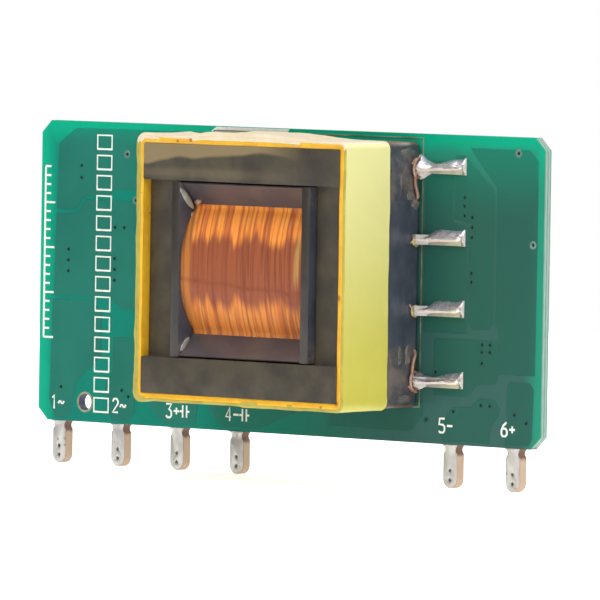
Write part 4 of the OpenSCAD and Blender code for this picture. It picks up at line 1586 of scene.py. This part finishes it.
    def joint(self, row: float, size: float, seed: float) -> BMesh:
        """Model the solder of one pin, from its block to the cut end on the pad.

        Args:
            row: Row of the pin, in pitches from the middle.
            size: Size of the cone round a coil end that is wound round the pin, or 0 for none.
            seed: Gives each joint its own form.

        Returns:
            The solder: a body with a ridge, bright above it and pale below it, where the floor's reflection
                is painted in.
        """
        cone = [(far, low * size, ridge, high * size, *deep) for far, low, ridge, high, *deep in CONE]
        end = self.pin_end - self.outer
        stations = [
            *(cone + NECK if size else PLAIN), *TIP,
            (end - 0.08, -0.45, 0.14, 0.99, 0.02, 0.6), (end + 0.05, -0.45, 0.14, 1.0, 0.02, 0.5),
        ]
        middle = row * self.row_pitch

        def section(station: tuple[float, ...]) -> Callable[[float], Vector]:
            """Return the outline of the joint at one station."""
            far, low, ridge, high, foot, peak = station

            def point(angle: float) -> Vector:
                """Return the outline's point at an angle from the upper end."""
                share = (1 + math.cos(angle)) / 2
                crest = (ridge - low) / (high - low)
                rise = min(share / crest, (1 - share) / (1 - crest)) ** 0.75
                wave = 0.06 * ripple((far * 1.3, share * 2, math.sin(angle)), 0.7, seed)
                depth = foot + (peak - foot) * rise if math.sin(angle) > 0 else foot
                level = low + (high - low) * share
                return Vector((self.outer + far, -max(depth * (1 + wave), 0.02), middle + level * (1 + wave)))

            return point

        fine = []
        for first, second in zip(stations, stations[1:]):
            fine += [tuple(a + (b - a) * t / 3 for a, b in zip(first, second)) for t in range(3)]
        bm = loft([section(station) for station in [*fine, stations[-1]]], sides=32)
        # the lower faces and the cut end are painted pale, standing in for the floor's reflection
        return paint(bm, 1, lambda f: f.normal.x > 0.75 or f.calc_center_median().z < middle + 0.06)

    def pins(self) -> None:
        """Solder the pins on both sides of the transformer."""
        cones = {1.5: 1.0, -1.5: 0.72}
        for side, start in (("right", 1), ("left", 5)):
            parts = []
            for index, row in enumerate((1.5, 0.5, -0.5, -1.5)):
                size = cones.get(row, 0.0) if side == "right" else 0.0
                bm = self.joint(row, size, start * 7.1 + index * 3.7)
                if side == "left":
                    bmesh.ops.scale(bm, vec=(-1, 1, 1), verts=bm.verts)
                    bmesh.ops.reverse_faces(bm, faces=bm.faces)
                parts.append(bm)
                self.shop.dress(f"transformer_pin_{start + index}", TIN)
            self.shop.piece(
                f"solder_joints_{side}", self.placed(merge(*parts)), [SOLDER, SOLDER_FLOOR_REFLECTION],
                replaces=[f"solder_{side}"], crease=50,
            )

    def leads(self) -> None:
        """Bring the coil's ends up the block to the end pins, and fray thin wires at the others."""
        face = self.outer
        for name, end in (("upper", 1), ("lower", -1)):
            z = end * 1.5 * self.row_pitch
            route = [(face + out, y, z + end * rise) for out, y, rise in COIL_END]
            turns = []
            for count in range(12):
                angle = count * 2 * math.pi / 9 - 1.2
                rise = end * 0.85 * math.cos(angle)
                turns.append((face + 0.1 + count * 0.02, -0.7 + 0.62 * math.sin(angle), z + rise))
            bm = self.placed(merge(thread(route, self.end_wire), thread(turns, self.wrap_wire)))
            self.shop.piece(f"coil_end_{name}", bm, [LEAD], replaces=[f"lead_wire_{name}"], crease=80)
        ends = []
        for row, rise in ((0.5, -0.3), (-0.5, 0.5)):
            z = row * self.row_pitch
            route = [(face + out, y, z + rise * share) for out, y, share in FINE_WIRE]
            ends.append(thread(route, self.fine_wire))
            ends.append(paint(self.blob((face + 0.09, -0.62, z - 0.06), (0.15, 0.46, 0.48), row, 0.3), 1))
        self.shop.piece("fine_wire_ends", self.placed(merge(*ends)), [LEAD, FLUX], crease=60)


# ---------------------------------------------------------------- parts on the back


class Mark(Enum):
    """Generic marks on a package."""

    NONE = 0
    DOT = 1
    BAR = 2


@dataclass(frozen=True)
class Package:
    """A moulded part with metal leads.

    Attributes:
        name: Start of its two nodes' names.
        mark: What is printed on it.
        finish: Finish of its body.
    """

    name: str
    mark: Mark
    finish: Finish = PACKAGE


@dataclass(frozen=True)
class ChipGroup:
    """Chip parts with soldered end caps.

    Attributes:
        node: CAD node that holds them.
        finishes: Finish of the body, and of the glazed top if there is one.
        cap: Length of an end cap.
    """

    node: str
    finishes: tuple[Finish, ...]
    cap: float = 0.5


PACKAGES: tuple[Package, ...] = (
    Package("bridge_rectifier", Mark.DOT), Package("controller", Mark.DOT), Package("transistor", Mark.NONE),
    Package("clamp_diode", Mark.BAR), Package("supply_diode", Mark.BAR),
    Package("output_rectifier", Mark.BAR), Package("optocoupler", Mark.DOT, WHITE_RESIN),
    Package("shunt_regulator", Mark.NONE),
)
CHIPS: tuple[ChipGroup, ...] = (
    ChipGroup("input_fuse", (WHITE_RESIN,)), ChipGroup("snubber_capacitor", (CERAMIC,)),
    ChipGroup("supply_capacitor", (CERAMIC,)), ChipGroup("output_capacitor_upper", (CERAMIC,)),
    ChipGroup("output_capacitor_lower", (CERAMIC,)), ChipGroup("noise_capacitor", (CERAMIC,)),
    ChipGroup("loop_capacitor", (CERAMIC,), 0.4), ChipGroup("sense_resistors", (ALUMINA, GLAZE)),
    ChipGroup("start_resistors", (ALUMINA, GLAZE)), ChipGroup("snubber_resistors", (ALUMINA, GLAZE)),
    ChipGroup("feedback_resistors", (ALUMINA, GLAZE), 0.4), ChipGroup("load_resistor", (ALUMINA, GLAZE)),
)


def rectangle(x0: float, z0: float, x1: float, z1: float) -> list[Point]:
    """Return the corners of a rectangle."""
    return [(x0, z0), (x1, z0), (x1, z1), (x0, z1)]


@dataclass
class BackParts:
    """The parts soldered to the back of the board.

    Attributes:
        shop: Makes the pieces.
        board: The board that they sit on.
        foot: How far above the board a lead counts as its foot.
        rim: How far a pad reaches past a foot.
        pad_t: Thickness of a pad.
        gap: Distance from a part to the line printed round it.
        line_w: Width of that line.
        mark_t: How far a mark stands out of its package.
        dot_in: Distance of a dot's middle from the two nearest sides.
        dot_r: Radius of a dot.
        bar_x: Distances of a bar's sides from the left side.
        bar_in: Distance of a bar's ends from the nearest sides.
        climb: How far solder climbs up a foot, against the foot's height.
        climb_limit: How far it climbs at most.
    """

    shop: Workshop
    board: Board
    foot: float = 0.22
    rim: float = 0.28
    pad_t: float = 0.06
    gap: float = 0.32
    line_w: float = 0.13
    mark_t: float = 0.004
    dot_in: float = 0.75
    dot_r: float = 0.28
    bar_x: Point = (0.3, 0.75)
    bar_in: float = 0.2
    climb: float = 0.7
    climb_limit: float = 0.9

    def __post_init__(self) -> None:
        """Start the lists of pads and printed lines."""
        self.face = self.board.level(Side.BACK)
        self.solder: list[BMesh] = []
        self.pads: list[BMesh] = []
        self.lines: list[BMesh] = []

    def build(self) -> None:
        """Make all the parts, then their pads, solder and print."""
        for package in PACKAGES:
            self.package(package)
        for chip in CHIPS:
            self.chip(chip)
        self.shop.piece("pads_back", merge(*self.pads), [SOLDER])
        self.shop.piece("solder_back", merge(*self.solder), [SOLDER], crease=60)
        self.shop.piece("printed_legend_back", merge(*self.lines), [INK])

    def package(self, package: Package) -> None:
        """Make one moulded part with its leads and its mark."""
        body, legs = f"{package.name}_body", f"{package.name}_leads"
        parts = [soften(self.shop.copy(body), 0.08)]
        low, high = span(parts[0].verts)
        left, right = (low.x + side for side in self.bar_x)
        marks = {
            Mark.NONE: [],
            Mark.DOT: [ring_points((low.x + self.dot_in, high.z - self.dot_in), self.dot_r, 24)],
            Mark.BAR: [rectangle(left, low.z + self.bar_in, right, high.z - self.bar_in)],
        }
        for outline in marks[package.mark]:
            parts.append(paint(plate(outline, high.y - 0.02, high.y + self.mark_t), 1))
        self.shop.piece(f"moulded_{package.name}", merge(*parts), [package.finish, PRINT], replaces=[body])
        leads = soften(self.shop.copy(legs), 0.03)
        for lead in islands(leads):
            self.pad(*span([v for v in lead if v.co.y < self.face + self.foot]))
        self.shop.piece(f"leads_{package.name}", leads, [TIN], replaces=[legs])
        self.outline(low, high)

    def chip(self, chip: ChipGroup) -> None:
        """Make the chip parts of one node with their end caps."""
        bm = soften(self.shop.copy(chip.node), 0.05)
        for solid in islands(bm):
            low, high = span(solid)
            axis = 0 if high.x - low.x > high.z - low.z else 2
            for face in {f for v in solid for f in v.link_faces}:
                spot = face.calc_center_median()
                if min(spot[axis] - low[axis], high[axis] - spot[axis]) < chip.cap + 0.02:
                    face.material_index = 1
                elif len(chip.finishes) > 1 and face.normal.y > 0.8:
                    face.material_index = 2
            for start in (low[axis], high[axis] - chip.cap):
                foot_low, foot_high = low.copy(), high.copy()
                foot_low[axis], foot_high[axis] = start, start + chip.cap
                self.pad(foot_low, foot_high, high.y - low.y)
            self.outline(low, high)
        body, *top = chip.finishes
        self.shop.piece(f"chip_{chip.node}", bm, [body, SOLDER, *top], replaces=[chip.node])

    def pad(self, low: Vector, high: Vector, height: float = 0.2) -> None:
        """Lay a pad under a foot and run solder up round it.

        Args:
            low: Lowest corner of the foot.
            high: Highest corner of the foot.
            height: Height that the solder climbs to.
        """
        rim = self.rim
        x0, z0, x1, z1 = low.x - rim, low.z - rim, high.x + rim, high.z + rim
        top = self.face + self.pad_t
        self.pads.append(plate(rectangle(x0, z0, x1, z1), self.face, top, edge=0.03))
        climb = min(height * self.climb, self.climb_limit)

        def place(u: float, v: float) -> Vector:
            """Return the point of the fillet over u and v of the pad."""
            x, z = x0 + (x1 - x0) * u, z0 + (z1 - z0) * v
            away = math.hypot(max(low.x - x, x - high.x, 0), max(low.z - z, z - high.z, 0)) / rim
            wave = 1 + 0.12 * ripple((x, 0, z), 0.5, 31)
            return Vector((x, top + climb * wave * max(1 - away, 0) ** 2.2 - 0.015 * min(away, 1), z))

        bm = sheet(14, 14, place)
        for vert in double(bm):
            vert.co.y = top - 0.03
        bmesh.ops.recalc_face_normals(bm, faces=bm.faces)
        self.solder.append(bm)

    def outline(self, low: Vector, high: Vector) -> None:
        """Print a rectangle round a part."""
        corners = ((low.x - self.gap, low.z - self.gap), (high.x + self.gap, high.z + self.gap))
        self.lines.append(self.board.frame(*corners, Side.BACK, self.line_w))


# ---------------------------------------------------------------- studio


@dataclass
class Studio:
    """The floor, the light and the camera.

    Attributes:
        azimuth: Where the camera stands, in degrees from the front towards the output side.
        elevation: How far it looks down, in degrees.
        roll: How far it is turned, in degrees.
        distance: How far away it stands, in metres.
        lens: Focal length for a sensor 36 mm wide.
        middle: Point of the part near the middle of the view, in millimetres.
        aside: Shift of the target along the view's right and up, in millimetres.
        table: Radius of the table top, in metres.
        fill: Strength of the soft light from all sides.
    """

    azimuth: float = 38.72
    elevation: float = 2.55
    roll: float = 0.91
    distance: float = 0.773
    lens: float = 568.98
    middle: tuple[float, float, float] = (0.0, -3.4, 10.0)
    aside: Point = (3.0, 1.116)
    table: float = 0.26
    fill: float = 0.55

    def build(self) -> None:
        """Set up the camera, the backdrop, the lamps and the world."""
        self.camera()
        self.backdrop()
        self.lamp("top", (-0.05, -0.15, 0.55), 0.5, 1.9)
        self.lamp("key", (-0.05, -0.65, 0.35), 0.4, 1.5)
        self.lamp("right", (0.6, -0.15, 0.25), 0.4, 1.3)
        self.lamp("back", (0.1, 0.6, 0.35), 0.5, 1.5)
        self.world()

    @staticmethod
    def put(name: str, data: bpy.types.ID, place: Matrix | None = None) -> bpy.types.Object:
        """Put an object with some data in the scene."""
        thing = bpy.data.objects.new(name, data)
        if place is not None:
            thing.matrix_world = place
        bpy.context.scene.collection.objects.link(thing)
        return thing

    def camera(self) -> None:
        """Place the camera."""
        az, el, roll = (math.radians(a) for a in (self.azimuth, self.elevation, self.roll))
        away = Vector((math.sin(az) * math.cos(el), -math.cos(az) * math.cos(el), math.sin(el)))
        right = Vector((math.cos(az), math.sin(az), 0))
        up = away.cross(right)
        target = (Vector(self.middle) + right * self.aside[0] + up * self.aside[1]) * MM
        level, upright = math.cos(roll), math.sin(roll)
        turned = Matrix((right * level + up * upright, up * level - right * upright, away)).transposed()
        data = bpy.data.cameras.new("camera")
        data.lens = self.lens
        data.sensor_width = 36
        data.clip_start = 0.05
        place = Matrix.Translation(target + away * self.distance) @ turned.to_4x4()
        bpy.context.scene.camera = self.put("camera", data, place)

    def backdrop(self) -> None:
        """Lay a round pale table top under the part."""
        bm = bmesh.new()
        at = Matrix.Translation((0, 0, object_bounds()[0].z))
        bmesh.ops.create_circle(bm, cap_ends=True, radius=self.table, segments=128, matrix=at)
        mesh = bpy.data.meshes.new("table_top")
        bm.to_mesh(mesh)
        bm.free()
        recipe = Recipe("pale_table")
        settings = {
            "Base Color": (0.93, 0.93, 0.93, 1), "Roughness": 0.9, "Emission Color": "#ffffff",
            "Emission Strength": 0.5,
        }
        for label, value in settings.items():
            recipe.feed(recipe.shader.inputs[label], value)
        mesh.materials.append(recipe.material)
        self.put("table_top", mesh)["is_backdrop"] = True

    def lamp(self, name: str, at: Sequence[float], size: float, power: float) -> None:
        """Hang one soft white lamp that faces the part.

        Args:
            name: Name of the lamp.
            at: Its place in metres.
            size: Its width in metres.
            power: Its power in watts.
        """
        data = bpy.data.lights.new(name, "AREA")
        data.size = size
        data.energy = power
        aim = Vector(self.middle) * MM - Vector(at)
        self.put(name, data, Matrix.Translation(at) @ aim.to_track_quat("-Z", "Y").to_matrix().to_4x4())

    def world(self) -> None:
        """Fill the shadows with soft light, dim where the glossy faces would mirror it."""
        world = bpy.data.worlds.new("studio")
        world.use_nodes = True
        bench = NodeBench(world.node_tree)
        way = bench.get("ShaderNodeTexCoord", output="Generated")
        mirrored = (-0.62, -0.78, 0.05)
        toward = bench.get("ShaderNodeVectorMath", {0: way, 1: mirrored}, "Value", operation="DOT_PRODUCT")
        height = bench.get("ShaderNodeSeparateXYZ", {0: way}, 2)
        sky = bench.mix(height.ramp(-0.2, 0.6), "#b9bac8", "#ffffff")
        light = bench.mix(toward.ramp(0.1, 0.8), sky, "#4a4b52")
        seen = bench.get("ShaderNodeLightPath", output="Is Camera Ray")
        weak = bench.get("ShaderNodeBackground", {"Color": light, "Strength": self.fill})
        white = bench.get("ShaderNodeBackground", {"Color": "#ffffff", "Strength": 1.0})
        both = bench.get("ShaderNodeMixShader", {0: seen, 1: weak, 2: white})
        bench.feed(world.node_tree.nodes["World Output"].inputs["Surface"], both)
        bpy.context.scene.world = world
        bpy.context.scene.view_settings.view_transform = "Standard"


def corners(box: Sequence[Vector]) -> list[list[float]]:
    """Return a box as plain lists of numbers."""
    return [[round(value, 6) for value in corner] for corner in box]


def main() -> None:
    """Build the looks of the power supply round its frame."""
    logging.basicConfig(level=logging.INFO, format="%(name)s %(message)s")
    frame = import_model()
    Studio().build()
    shop = Workshop(frame["nodes"], SharedGroups())
    board = Board(shop)
    board.build()
    Transformer(shop).build()
    BackParts(shop, board).build()


if __name__ == "__main__":
    main()
